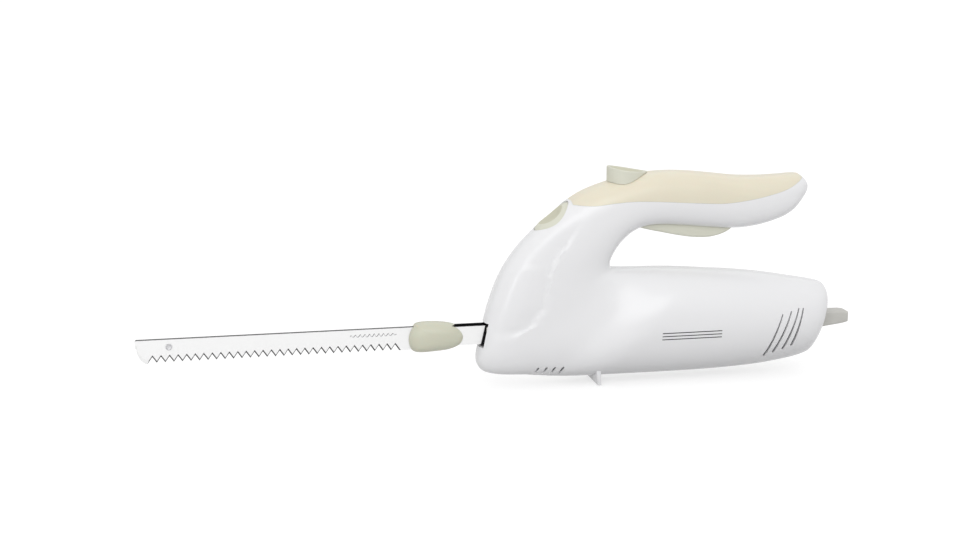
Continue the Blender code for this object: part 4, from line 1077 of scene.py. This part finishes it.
def release_button():
    """An oval lens saddled over the front shoulder, with a hollow for the thumb inside a broad rim."""
    dish = settings("control").release_dish / MM
    long, wide = RELEASE_PLAN
    rim, dome, skirt = 0.72, 2.4, 3.2
    levels = [(0.5, -skirt), (0.97, -skirt), (1.0, -skirt + 0.4)]
    quarter = [math.pi / 2 * step / 12 for step in range(13)]
    levels += [(math.cos(angle), dome * math.sin(angle)) for angle in quarter]
    rows = [(reach, height) for reach, height in levels if height < 0 or reach > rim]
    edge = dome * math.sqrt(1 - rim ** 2)
    for step in range(14):
        part = step / 14
        rows.append((rim * (1 - part), edge - dish * ease(part * 1.25)))
    rings = []
    for reach, height in rows:
        shift = 1.4 * max(0.0, (rim - reach) / rim) if height > 0 else 0.0
        rings.append([(x * reach + shift, y * reach, height - RELEASE_BEND * (y * reach / wide) ** 2)
                      for x, y in oval(long, wide, 72)])
    data = lofted("release_thumb_button", rings, smooth=60)
    turn = Matrix.Translation(metres((SHOULDER[0], 0, SHOULDER[1]))) @ Matrix.Rotation(-SHOULDER_SLOPE, 4, "Y")
    data.transform(turn)
    obj = add_object("release_thumb_button", data, control_cream())
    stem = rod("Z", (0, 0, -10.6), 8.4, 3.0, 32)
    stem.transform(turn)
    cut(obj, stem, "UNION")
    dress(obj, control_cream(), 50)
    back = turn.inverted()

    def inside(middle, normal):
        local = back @ (middle * MM) / MM
        reach = math.hypot(local.x / long, local.y / wide)
        return local.z > -RELEASE_BEND and normal.z > 0 and reach < rim - 0.04

    shaded_matte_hollow(obj, inside)
    return stand_in(obj, "release", "control_cream", "release_button")


def trigger():
    """The lever under the grip, with its pivot bore and the seat of its return spring."""
    given = settings("control")
    outline = smoothed(TRIGGER, 5)
    obj = add_object("trigger_lever_shell", prism(outline, -TRIGGER_HALF, TRIGGER_HALF), control_cream())
    rounded(obj, given.edge, 5, 60)
    x, z = TRIGGER_PIVOT
    cut(obj, rod("Y", (x, -20, z), 40, 1.5 + GAP, 32))
    cut(obj, rod("Z", (SPRING_SEAT[0], 0, SPRING_SEAT[1]), 10.0, SPRING_SEAT_RADIUS, 40))
    dress(obj, control_cream(), 35)
    return stand_in(obj, "trigger_lever", "control_cream", "trigger")


# ---------------------------------------------------------------- blades

BLADE_THICK = 1.2
BLADE_GAP = 0.6
BLADE_TIP = -244.1
BLADE_SPINE = 43.8
BELLY_LOW = 26.9                # lowest point of the rounded tip
BELLY = 9.6                     # length over which the tip curves down to its lowest point
TOOTH_TIP = 28.3
FIRST_TOOTH = -235.95
SHANK_END = -5.0
TANG = -16.3                    # from here on the shank is painted black as shade inside the nose, along a line that leans with the nose
TANG_LEAN = 0.23


def blade_rows():
    """Places along a blade: x, lower edge, upper edge, and height of the ground face at the lower edge."""
    given = settings("blade")
    ground = given.tip_grind / MM
    teeth = FIRST_TOOTH + given.tooth_count * given.pitch / MM
    rows = [(BLADE_TIP, BLADE_SPINE - 3.4, BLADE_SPINE - 1.4, 0.3),
            (BLADE_TIP + 0.2, BLADE_SPINE - 4.6, BLADE_SPINE - 0.7, 1.0),
            (BLADE_TIP + 0.5, BLADE_SPINE - 5.6, BLADE_SPINE - 0.3, 1.6)]
    drop = BLADE_SPINE - BELLY_LOW - 5.6
    for step in range(1, 25):
        angle = math.pi / 2 * step / 25
        rows.append((BLADE_TIP + 1.0 + BELLY * (1 - math.cos(angle)),
                     BLADE_SPINE - 5.6 - drop * math.sin(angle), BLADE_SPINE, ground))
    rows.append((BLADE_TIP + 2.4 + BELLY, TOOTH_TIP - 0.4, BLADE_SPINE, ground * 0.5))
    rows.append((BLADE_TIP + 4.4 + BELLY, TOOTH_TIP - 0.1, BLADE_SPINE, 0.3))
    rows.append((teeth, TOOTH_TIP - 0.1, BLADE_SPINE, 0.3))
    rows.append((teeth + 1.0, TOOTH_TIP, BLADE_SPINE, 0.1))
    rows.append((-66.0, TOOTH_TIP, BLADE_SPINE, 0.1))
    rows.append((JOGGLE[0], TOOTH_TIP + 1.0, BLADE_SPINE, 0.1))
    for step in range(13):
        x = JOGGLE[0] + 1.0 + (JOGGLE[1] - JOGGLE[0] - 1.0) * step / 12
        rows.append((x, *SHANK, 0.1))
    rows.append((TANG, *SHANK, 0.1))
    rows.append((SHANK_END - 2.0, *SHANK, 0.1))
    rows.append((SHANK_END - 0.6, SHANK[0] + 0.8, SHANK[1] - 0.8, 0.1))
    rows.append((SHANK_END, SHANK[0] + 2.0, SHANK[1] - 2.0, 0.1))
    return rows


def blade_blank(name, side):
    """A blade before its teeth are ground: its last two faces of each section are ground or drawn."""
    edge = settings("blade").spine_edge / MM
    rows = []
    for x, low, high, ground in blade_rows():
        bend = ease((x - JOGGLE[0]) / (JOGGLE[1] - JOGGLE[0]))
        inner = BLADE_GAP / 2 + SHANK_OFFSET * bend
        outer = inner + BLADE_THICK
        lean = TANG_LEAN if x == TANG else 0.0
        middle = (low + high) / 2
        rows.append([(x + lean * (z - middle), side * y, z) for y, z in
                     ((inner, low), (outer, low + ground), (outer, high - edge), (outer - edge, high),
                      (inner + edge, high), (inner, high - edge))])
    data = lofted(name, rows, smooth=25)
    # Material 1 paints a dark reflection on the spine; material 2 paints black shade on the shank inside the
    # nose, and on its spine and inner face behind the joggle.
    for face in data.polygons:
        x = face.center.x / MM
        spine = face.normal.z > 0.6
        inside = side * face.normal.y < -0.5
        if x > TANG or x > JOGGLE[1] and (spine or inside):
            face.material_index = 2
        else:
            face.material_index = 1 if spine else 0
    return data


def gullet_tool(side):
    """The wedge that grinds one gullet: a V that grows wider towards the blade's outer face."""
    given = settings("blade")
    depth, grind, half = given.depth / MM, given.grind / MM, given.pitch / MM / 2
    rows = []
    for part in (-0.4, 1.4):
        y = side * (BLADE_GAP / 2 + BLADE_THICK * part)
        apex = TOOTH_TIP + depth + grind * part
        reach = apex - TOOTH_TIP + 3.0
        sway = 0.12 * part
        rows.append([(sway + 0.12, y, apex - 0.1), (sway - 0.12, y, apex - 0.1),
                     (sway - half * reach / depth, y, TOOTH_TIP - 3.0),
                     (sway + half * reach / depth, y, TOOTH_TIP - 3.0)])
    return lofted("gullet_tool", rows, smooth=0)


def ground_teeth(blade, side):
    """Grind every other gullet, then the ones between, so that the wedges never overlap."""
    given = settings("blade")
    for first in (0, 1):
        count = (given.tooth_count + 1 - first) // 2
        start = ((FIRST_TOOTH * MM) + given.pitch * (0.5 + first), 0.0, 0.0)
        # The ground faces of the gullets take the steel with a painted dark reflection.
        tools = copies("gullets", gullet_tool(side), steel_painted_dark_reflection(), Count=count, Start=start,
                       Step=(2 * given.pitch, 0.0, 0.0))
        cut(blade, tools)


def blade(side):
    """A blade with its shank. The far blade has a slot for the rivet, the near one a round hole."""
    label = "left" if side < 0 else "right"
    # Second material: painted dark reflection on the ground faces and spine; third: painted black shade on the
    # shank.
    obj = add_object(label + "_serrated_blade", blade_blank(label, side), blade_steel(), steel_painted_dark_reflection(),
                     painted_shade_black())
    ground_teeth(obj, side)
    slide = 9.0 if side > 0 else 0.0
    radius = 1.9
    room = rounded_box((RIVET[0] - slide - radius, RIVET[1] - radius),
                       (RIVET[0] + slide + radius, RIVET[1] + radius), radius - 0.01, 8)
    cut(obj, prism(room, -4, 4))
    obj.data.shade_smooth()
    obj.data.set_sharp_from_angle(angle=math.radians(20))
    return stand_in(obj, label + "_blade_unit", "blade_steel", label + "_blade")


def collar(side):
    """One half of the moulded collar that joins a blade to its shank: a soft pillow, flat inside."""
    label = "left" if side < 0 else "right"
    outline = smoothed(COLLAR, 6)
    x_middle, z_middle = COLLAR_MIDDLE
    rows = []
    for step in range(19):
        part = math.cos(math.pi / 2 * step / 18) ** 0.62
        reach = max(part, 0.02)
        y = GAP + COLLAR_BULGE * (1 - part ** 2.9) ** (1 / 2.2)
        rows.append([(x_middle + (x - x_middle) * reach, side * y, z_middle + (z - z_middle) * reach)
                     for x, z in outline])
    obj = add_object(label + "_collar_half", lofted(label, rows, smooth=60), collar_cream())
    for start, end, offset in ((-80.0, JOGGLE[0] - 1.0, 0.0), (JOGGLE[0] - 1.01, -10.0, SHANK_OFFSET)):
        low, high = sorted((side * -2.0, side * (BLADE_GAP / 2 + offset + BLADE_THICK + GAP)))
        cut(obj, block((start, low, TOOTH_TIP - GAP), (end, high, BLADE_SPINE + GAP)))
    dress(obj, collar_cream(), 50)
    return stand_in(obj, label + "_blade_unit", "control_cream", label + "_collar")


def rivet():
    """The hollow-headed rivet that holds the far blade's slot against the near blade."""
    y = BLADE_GAP / 2 + BLADE_THICK
    head = [(y + GAP, 1.5), (y + GAP, 2.1), (y + GAP + 0.3, 2.1), (y + GAP + 0.5, 1.95), (y + GAP + 0.5, 1.7)]
    head += [(y + GAP + 0.5 - 0.75 * math.sin(math.pi / 2 * step / 6), 1.7 * math.cos(math.pi / 2 * step / 6))
             for step in range(1, 6)] + [(y + GAP - 0.25, 0.0)]
    profile = [(-along, radius) for along, radius in reversed(head)] + head
    obj = add_object("blade_rivet_domed", turned("Y", (RIVET[0], 0, RIVET[1]), profile, 40), zinc())
    return stand_in(obj, "left_blade_unit", "zinc_steel", "blade_rivet")


# ---------------------------------------------------------------- fixings

def screw():
    """A casing screw that lies along Y, with a domed head, a cross recess and a thread of fine rings."""
    given = settings("fixing")
    head = given.head / MM
    profile = [(-16.3, 0), (-15.6, 0.5), (-14.8, 1.0)]
    for turn in range(16):
        along = -14.4 + 0.9 * turn
        profile += [(along, 1.12), (along + 0.3, 1.5), (along + 0.42, 1.5), (along + 0.72, 1.12)]
    profile += [(-0.2, 1.12), (0.0, 1.3), (0.0, head), (0.9, head)]
    profile += [(0.9 + 1.4 * math.sin(math.pi / 2 * step / 6), 0.45 + (head - 0.45) * math.cos(math.pi / 2
                * step / 6)) for step in range(1, 7)]
    profile += [(2.3, 0)]
    obj = add_object("screw_seed", turned("Y", (0, SCREW_SEAT, 0), profile, 32))
    half, deep = given.cross / MM / 2, given.recess / MM
    top, arm = SCREW_SEAT + 2.3, 1.7
    cut(obj, block((-arm, top - deep, -half), (arm, top + 1.7, half)))
    cut(obj, block((-half, top - deep, -arm), (half, top + 1.7, arm)))
    data = obj.data
    bpy.data.objects.remove(obj, do_unlink=True)
    data.shade_smooth()
    data.set_sharp_from_angle(angle=math.radians(35))
    return data


def casing_screws():
    """Six alike screws, each turned by a different angle."""
    obj = copies("casing_screw_set", screw(), zinc(), places=[(x, 0, z) for x, z in SCREW_PLACES],
                 Turn=(0.0, TAU, 0.0))
    nodes = [f"casing_screw_{index + 1}" for index in range(len(SCREW_PLACES))]
    return stand_in(obj, "housing", "zinc_steel", *nodes)


def strain_relief():
    """The grey stub that leads the cord out of the barrel: a tapered sleeve with soft edges and a flat bore."""
    rows = []
    for step in range(9):
        part = step / 8
        x = RELIEF_X[0] + (RELIEF_X[1] - RELIEF_X[0]) * part
        low, high = 29.4 + 3.4 * part, 41.4 - 0.6 * part
        shrink = 0.35 * ease((part - 0.9) / 0.1)
        section = rounded_box((-6.5 + shrink, low + shrink), (6.5 - shrink, high - shrink), 1.4, 5)
        rows.append([(x, y, z) for y, z in section])
    obj = add_object("strain_relief_sleeve", lofted("sleeve", rows, smooth=45), relief_grey())
    flange = add_object("flange", block((211.5, -9.0, 27.4), (217.4, 9.0, 43.2)))
    rounded(flange, 0.8 * MM, 3)
    cut(obj, flange, "UNION")
    passage = [(200.0, y, z) for y, z in rounded_box((-2.9, 34.9), (2.9, 38.7), 1.6, 6)]
    cut(obj, lofted("passage", [passage, [(260.0, y, z) for _, y, z in passage]], smooth=0))
    dress(obj, relief_grey(), 40)
    return stand_in(obj, "housing", "grey_pvc", "strain_relief")


# ---------------------------------------------------------------- motor

def ring_sector(inner, outer, spread, near, far, steps):
    """A block of a ring round the X axis, from x = near to x = far, spread over an angle about the top."""
    rows = []
    for x in (near, far):
        arc = [(math.pi / 2 - spread / 2 + spread * step / steps) for step in range(steps + 1)]
        rows.append([(x, radius * math.cos(angle), radius * math.sin(angle)) for radius, angles in
                     ((outer, arc), (inner, arc[::-1])) for angle in angles])
    return lofted("sector", rows, smooth=30)


def ring_of(name, part, mat, count, x):
    """Copies of a part, evenly round the motor's axis."""
    return copies(name, part, mat, Count=count, Start=(x * MM, 0.0, MOTOR_Z * MM), Step=(0.0, 0.0, 0.0),
                  Turn=(TAU / count, 0.0, 0.0))


def commutator():
    """Copper bars round a black core."""
    count = settings("inner").bars
    bar = ring_sector(4.6, 7.6, TAU / count * SHEET_SHARE, 0.2, COMMUTATOR_LENGTH - 0.2, 3)
    bars = ring_of("commutator_bars", bar, copper(), count, COMMUTATOR_X)
    core = turned("X", (COMMUTATOR_X, 0, MOTOR_Z),
                  [(0, SHAFT_ROOM), (0, 4.7), (COMMUTATOR_LENGTH, 4.7), (COMMUTATOR_LENGTH, SHAFT_ROOM)], 32)
    add_bodies(bars, core, black_plastic())
    return stand_in(bars, "rotor", "copper", "commutator")


def laminations(name, outline, bore, sides, x, distance):
    """A stack of pierced iron sheets along X, each a little apart from the next."""
    pitch = settings("inner").lamination
    sheet = add_object("sheet", prism(outline, 0.0, pitch / MM * SHEET_SHARE))
    cut(sheet, rod("Y", (0, -2, 0), 6, bore, sides))
    data = sheet.data
    bpy.data.objects.remove(sheet, do_unlink=True)
    data.transform(Matrix.Rotation(-math.pi / 2, 4, "Z"))
    return copies(name, data, iron(), Count=int(distance * MM / pitch), Step=(pitch, 0.0, 0.0),
                  Start=(x * MM, 0.0, MOTOR_Z * MM), Turn=(0.0, 0.0, 0.0))


def armature():
    """The rotor's core: a stack of sheets with slots round the rim."""
    count = settings("inner").slots
    outline = []
    for slot in range(count):
        for offset, radius in ((0.04, 13.2), (0.28, 13.2), (0.5, 13.2), (0.72, 13.2), (0.96, 13.2), (0.97, 12.4),
                               (0.86, 11.6), (0.86, 8.0), (1.14, 8.0), (1.14, 11.6), (1.03, 12.4)):
            angle = TAU * (slot + offset) / count
            outline.append((radius * math.cos(angle), radius * math.sin(angle)))
    obj = laminations("armature_stack", outline, SHAFT_ROOM, 24, ARMATURE_X, ARMATURE_LENGTH)
    return stand_in(obj, "rotor", "lamination_iron", "armature_core")


def stator():
    """The stack of pierced sheets round the armature."""
    outline = rounded_box((-19.0, -23.0), (19.0, 23.0), 12.0, 8)
    obj = laminations("stator_stack", outline, 14.0, 48, STATOR_X, STATOR_LENGTH)
    return stand_in(obj, "housing", "lamination_iron", "motor_stator")


def cooling_fan():
    """A moulded fan: a thin disc, a hub and swept vanes on its rear face."""
    given = settings("inner")
    rows = []
    for step in range(9):
        reach = 5.6 + 10.8 * step / 8
        lean = 0.5 * (step / 8) ** 1.5
        crest = 6.6 - 1.2 * step / 8
        section = ((0.9, -0.6), (0.9, 0.6), (crest, 0.35), (crest, -0.35))
        rows.append([(x, reach * math.cos(lean) + y * math.sin(lean), reach * math.sin(lean) - y * math.cos(lean))
                     for x, y in section])
    obj = ring_of("cooling_fan_moulding", lofted("vane", rows, smooth=40), nylon(), given.vanes,
                  FAN_X)
    disc = turned("X", (FAN_X, 0, MOTOR_Z),
                  [(0, SHAFT_ROOM), (0, 16.6), (0.2, 17.0), (1.0, 17.0), (1.2, 16.8), (1.2, 6.4), (1.6, 6.0),
                   (6.0, 6.0), (6.0, SHAFT_ROOM)], 48)
    add_bodies(obj, disc, nylon())
    dress(obj, nylon(), 35)
    return stand_in(obj, "rotor", "nylon", "cooling_fan")


# ---------------------------------------------------------------- markings

def on_flank(shell, x, z):
    """The point of the near flank under a place of the side view, in millimetres."""
    hit = shell.ray_cast(metres((x, -80.0, z)), Vector((0, 1, 0)))[0]
    return hit / MM


def bar_patch(shell, low, high):
    """A thin printed bar that lies on the near flank."""
    bm = bmesh.new()
    columns = max(2, int((high[0] - low[0]) / 1.5))
    levels = max(2, int((high[1] - low[1]) / 0.8))
    grid = []
    for i in range(columns + 1):
        line = []
        for j in range(levels + 1):
            point = on_flank(shell, low[0] + (high[0] - low[0]) * i / columns,
                             low[1] + (high[1] - low[1]) * j / levels)
            line.append(bm.verts.new(metres((point.x, point.y - 0.06, point.z))))
        grid.append(line)
    for near, far in zip(grid, grid[1:]):
        for j in range(levels):
            bm.faces.new((near[j], far[j], far[j + 1], near[j + 1]))
    bmesh.ops.solidify(bm, geom=list(bm.faces), thickness=0.04 * MM)
    bmesh.ops.recalc_face_normals(bm, faces=bm.faces)
    return finished_mesh("bar", bm, 30)


def barrel_print():
    """Three alike stripes printed on the barrel."""
    shell = bpy.data.objects["left_casing_shell"]
    tree = BVHTree.FromObject(shell, bpy.context.evaluated_depsgraph_get())
    front, rear = STRIPE_ENDS
    stripes = [bar_patch(tree, (front, z), (rear, z + STRIPE_WIDTH)) for z in STRIPE_HEIGHTS]
    obj = add_object("barrel_print", joined(stripes), print_ink())
    return stand_in(obj, "housing", "black_plastic")


def blade_flourish():
    """An even wave etched on the near blade."""
    steps = 240
    y = -(BLADE_GAP / 2 + BLADE_THICK)

    def path(part):
        swing = TAU * 10 * part
        tall = math.sin(math.pi * min(max(part, 0.0), 1.0)) ** 0.3
        return Vector((-105.4 + 31.0 * part + 0.25 * math.sin(swing + 0.8), 39.6 + tall * math.sin(swing)))

    rows = []
    for step in range(steps + 1):
        part = step / steps
        run = (path(part + 0.001) - path(part - 0.001)).normalized()
        across = Vector((-run.y, run.x)) * (0.15 + 0.07 * run.y)
        upper, lower = path(part) + across, path(part) - across
        rows.append([(lower.x, y - 0.03, lower.y), (upper.x, y - 0.03, upper.y), (upper.x, y - 0.005, upper.y),
                     (lower.x, y - 0.005, lower.y)])
    obj = add_object("blade_flourish", lofted("flourish", rows, smooth=0), etched_grey())
    return stand_in(obj, "left_blade_unit", "blade_steel")


# ---------------------------------------------------------------- carried-over pieces

FINISHES = {"blade_steel": blade_steel, "zinc_steel": zinc, "lamination_iron": iron, "copper": copper,
            "bronze": bronze, "nylon": nylon, "black_plastic": black_plastic, "carbon": carbon,
            "grey_pvc": relief_grey, "casing_white": casing_white, "cream_plastic": grip_cream,
            "control_cream": control_cream}


def dress_frame():
    """Give every CAD node that still shows the finish of its material slot."""
    slots = {part["node"]: part["material_slot"] for part in frame["record"]["subparts"]}
    for name, obj in frame["nodes"].items():
        mat = FINISHES[slots[name]]()
        if not obj.material_slots:
            obj.data.materials.append(mat)
        for slot in obj.material_slots:
            slot.material = mat


# ---------------------------------------------------------------- stage

def floor_material():
    """A pale matt floor that looks white where it is seen, and throws little light back."""
    given = settings("stage")
    mat = plastic("pale_floor", given.floor, 0.75, grain=400.0, depth=0.02, spread=0.05, shade=0.99)
    tree = mat.node_tree
    shader = tree.nodes["Principled BSDF"]
    bounced = put(tree, "ShaderNodeLightPath").outputs["Is Diffuse Ray"]
    glow = maths(tree, "MULTIPLY", maths(tree, "SUBTRACT", 1.0, bounced), given.glow)
    shader.inputs["Emission Color"].default_value = WHITE
    tree.links.new(glow, shader.inputs["Emission Strength"])
    return mat


def area_light(name, place, aim, power, size, size_y):
    """A rectangular soft light."""
    data = bpy.data.lights.new(name, "AREA")
    data.shape = "RECTANGLE"
    data.energy = power
    data.size = size
    data.size_y = size_y
    light = bpy.data.objects.new(name, data)
    bpy.context.scene.collection.objects.link(light)
    light.location = place
    light.rotation_euler = (Vector(aim) - Vector(place)).to_track_quat("-Z", "Y").to_euler()


def surroundings():
    """White surroundings that light the knife softly and show as a bright backdrop."""
    given = settings("stage")
    world = bpy.data.worlds.new("white_room")
    bpy.context.scene.world = world
    world.use_nodes = True
    tree = world.node_tree
    tree.nodes.clear()
    towards = put(tree, "ShaderNodeTexCoord").outputs["Generated"]
    height = put(tree, "ShaderNodeSeparateXYZ", {0: towards}).outputs["Z"]
    level = put(tree, "ShaderNodeMapRange", {"Value": height, "From Min": 0.0, "From Max": 1.0,
                                             "To Min": given.horizon, "To Max": given.sky}).outputs["Result"]
    soft = put(tree, "ShaderNodeBackground", {"Color": WHITE, "Strength": level})
    bright = put(tree, "ShaderNodeBackground", {"Color": WHITE, "Strength": 1.0})
    seen = put(tree, "ShaderNodeLightPath").outputs["Is Camera Ray"]
    mix = put(tree, "ShaderNodeMixShader", {0: seen, 1: soft.outputs[0], 2: bright.outputs[0]})
    put(tree, "ShaderNodeOutputWorld", {"Surface": mix.outputs[0]})


def camera():
    """The camera on a sphere round its target."""
    given = settings("stage")
    data = bpy.data.cameras.new("camera")
    data.sensor_width = 36.0
    data.lens = given.focal
    obj = bpy.data.objects.new("camera", data)
    bpy.context.scene.collection.objects.link(obj)
    back = Vector((math.sin(given.azimuth) * math.cos(given.elevation),
                   -math.cos(given.azimuth) * math.cos(given.elevation), math.sin(given.elevation)))
    obj.location = Vector(given.target) + back * given.distance
    obj.rotation_euler = (-back).to_track_quat("-Z", "Y").to_euler()
    bpy.context.scene.camera = obj


def stage():
    """The floor, the surroundings, the three lights and the camera."""
    given = settings("stage")
    bm = bmesh.new()
    bmesh.ops.create_grid(bm, x_segments=1, y_segments=1, size=6.0)
    floor = add_object("floor", finished_mesh("floor", bm, 0), floor_material())
    floor.location.z = -0.0002
    surroundings()
    area_light("key", (-0.2, -1.35, 0.95), (0.0, 0.0, 0.07), given.key, 1.4, 0.8)
    area_light("strip", (-1.0, -1.3, 0.2), (0.0, 0.0, 0.07), given.strip, 0.2, 1.1)
    area_light("rim", (0.5, 0.9, 1.0), (0.0, 0.0, 0.08), given.rim, 1.0, 0.5)
    camera()
    bpy.context.scene.view_settings.view_transform = "Standard"


# ---------------------------------------------------------------- operators

class KNIFE_OT_casing(bpy.types.Operator):
    """Build the two white casing halves"""
    bl_idname = "knife.casing"
    bl_label = "Casing Halves"
    bl_options = {"REGISTER", "UNDO"}

    def execute(self, context):
        casing_half(-1)
        casing_half(1)
        return {"FINISHED"}


class KNIFE_OT_grip_cover(bpy.types.Operator):
    """Build the cream cover over the handle"""
    bl_idname = "knife.grip_cover"
    bl_label = "Grip Cover"
    bl_options = {"REGISTER", "UNDO"}

    def execute(self, context):
        grip_cover()
        return {"FINISHED"}


class KNIFE_OT_controls(bpy.types.Operator):
    """Build the sliding lock, the release button and the trigger"""
    bl_idname = "knife.controls"
    bl_label = "Controls"
    bl_options = {"REGISTER", "UNDO"}

    def execute(self, context):
        lock_button()
        release_button()
        trigger()
        return {"FINISHED"}


class KNIFE_OT_blades(bpy.types.Operator):
    """Build the two serrated blades and grind their teeth"""
    bl_idname = "knife.blades"
    bl_label = "Blades"
    bl_options = {"REGISTER", "UNDO"}

    def execute(self, context):
        blade(-1)
        blade(1)
        return {"FINISHED"}


class KNIFE_OT_collars(bpy.types.Operator):
    """Build the moulded collar halves and the rivet of the blades"""
    bl_idname = "knife.collars"
    bl_label = "Collars and Rivet"
    bl_options = {"REGISTER", "UNDO"}

    def execute(self, context):
        collar(-1)
        collar(1)
        rivet()
        return {"FINISHED"}


class KNIFE_OT_fixings(bpy.types.Operator):
    """Build the casing screws and the cord's strain relief"""
    bl_idname = "knife.fixings"
    bl_label = "Screws and Strain Relief"
    bl_options = {"REGISTER", "UNDO"}

    def execute(self, context):
        casing_screws()
        strain_relief()
        return {"FINISHED"}


class KNIFE_OT_motor(bpy.types.Operator):
    """Build the motor's laminations, commutator and fan"""
    bl_idname = "knife.motor"
    bl_label = "Motor"
    bl_options = {"REGISTER", "UNDO"}

    def execute(self, context):
        commutator()
        armature()
        stator()
        cooling_fan()
        return {"FINISHED"}


class KNIFE_OT_markings(bpy.types.Operator):
    """Lay the printed stripes on the barrel and the etched wave on the blade"""
    bl_idname = "knife.markings"
    bl_label = "Markings"
    bl_options = {"REGISTER", "UNDO"}

    def execute(self, context):
        barrel_print()
        blade_flourish()
        return {"FINISHED"}


class KNIFE_OT_finishes(bpy.types.Operator):
    """Give the frame's own pieces their finishes"""
    bl_idname = "knife.finishes"
    bl_label = "Finishes"
    bl_options = {"REGISTER", "UNDO"}

    def execute(self, context):
        dress_frame()
        return {"FINISHED"}


class KNIFE_OT_stage(bpy.types.Operator):
    """Set up the floor, the lights and the camera"""
    bl_idname = "knife.stage"
    bl_label = "Stage"
    bl_options = {"REGISTER", "UNDO"}

    def execute(self, context):
        stage()
        return {"FINISHED"}


class KNIFE_PT_panel(bpy.types.Panel):
    """Settings and steps of the electric carving knife"""
    bl_idname = "KNIFE_PT_panel"
    bl_label = "Electric Carving Knife"
    bl_space_type = "VIEW_3D"
    bl_region_type = "UI"
    bl_category = "Knife"

    def draw(self, context):
        for name, group in SETTINGS.items():
            box = self.layout.box()
            box.label(text=name.title())
            for key in group.__annotations__:
                box.prop(getattr(context.scene, "knife_" + name), key)
        for operator in OPERATORS:
            self.layout.operator(operator.bl_idname)


SETTINGS = {"casing": CasingSettings, "control": ControlSettings, "blade": BladeSettings,
            "fixing": FixingSettings, "inner": InnerSettings, "stage": StageSettings}
OPERATORS = [KNIFE_OT_casing, KNIFE_OT_grip_cover, KNIFE_OT_controls, KNIFE_OT_blades, KNIFE_OT_collars,
             KNIFE_OT_fixings, KNIFE_OT_motor, KNIFE_OT_markings, KNIFE_OT_finishes, KNIFE_OT_stage]


def register():
    for name, group in SETTINGS.items():
        bpy.utils.register_class(group)
        setattr(bpy.types.Scene, "knife_" + name, PointerProperty(type=group))
    for cls in (*OPERATORS, KNIFE_PT_panel):
        bpy.utils.register_class(cls)


def unregister():
    for cls in (KNIFE_PT_panel, *reversed(OPERATORS)):
        bpy.utils.unregister_class(cls)
    for name, group in SETTINGS.items():
        delattr(bpy.types.Scene, "knife_" + name)
        bpy.utils.unregister_class(group)


def main():
    register()
    bpy.ops.knife.casing()
    bpy.ops.knife.grip_cover()
    bpy.ops.knife.controls()
    bpy.ops.knife.blades()
    bpy.ops.knife.collars()
    bpy.ops.knife.fixings()
    bpy.ops.knife.motor()
    bpy.ops.knife.markings()
    bpy.ops.knife.finishes()
    bpy.ops.knife.stage()


if __name__ == "__main__":
    main()
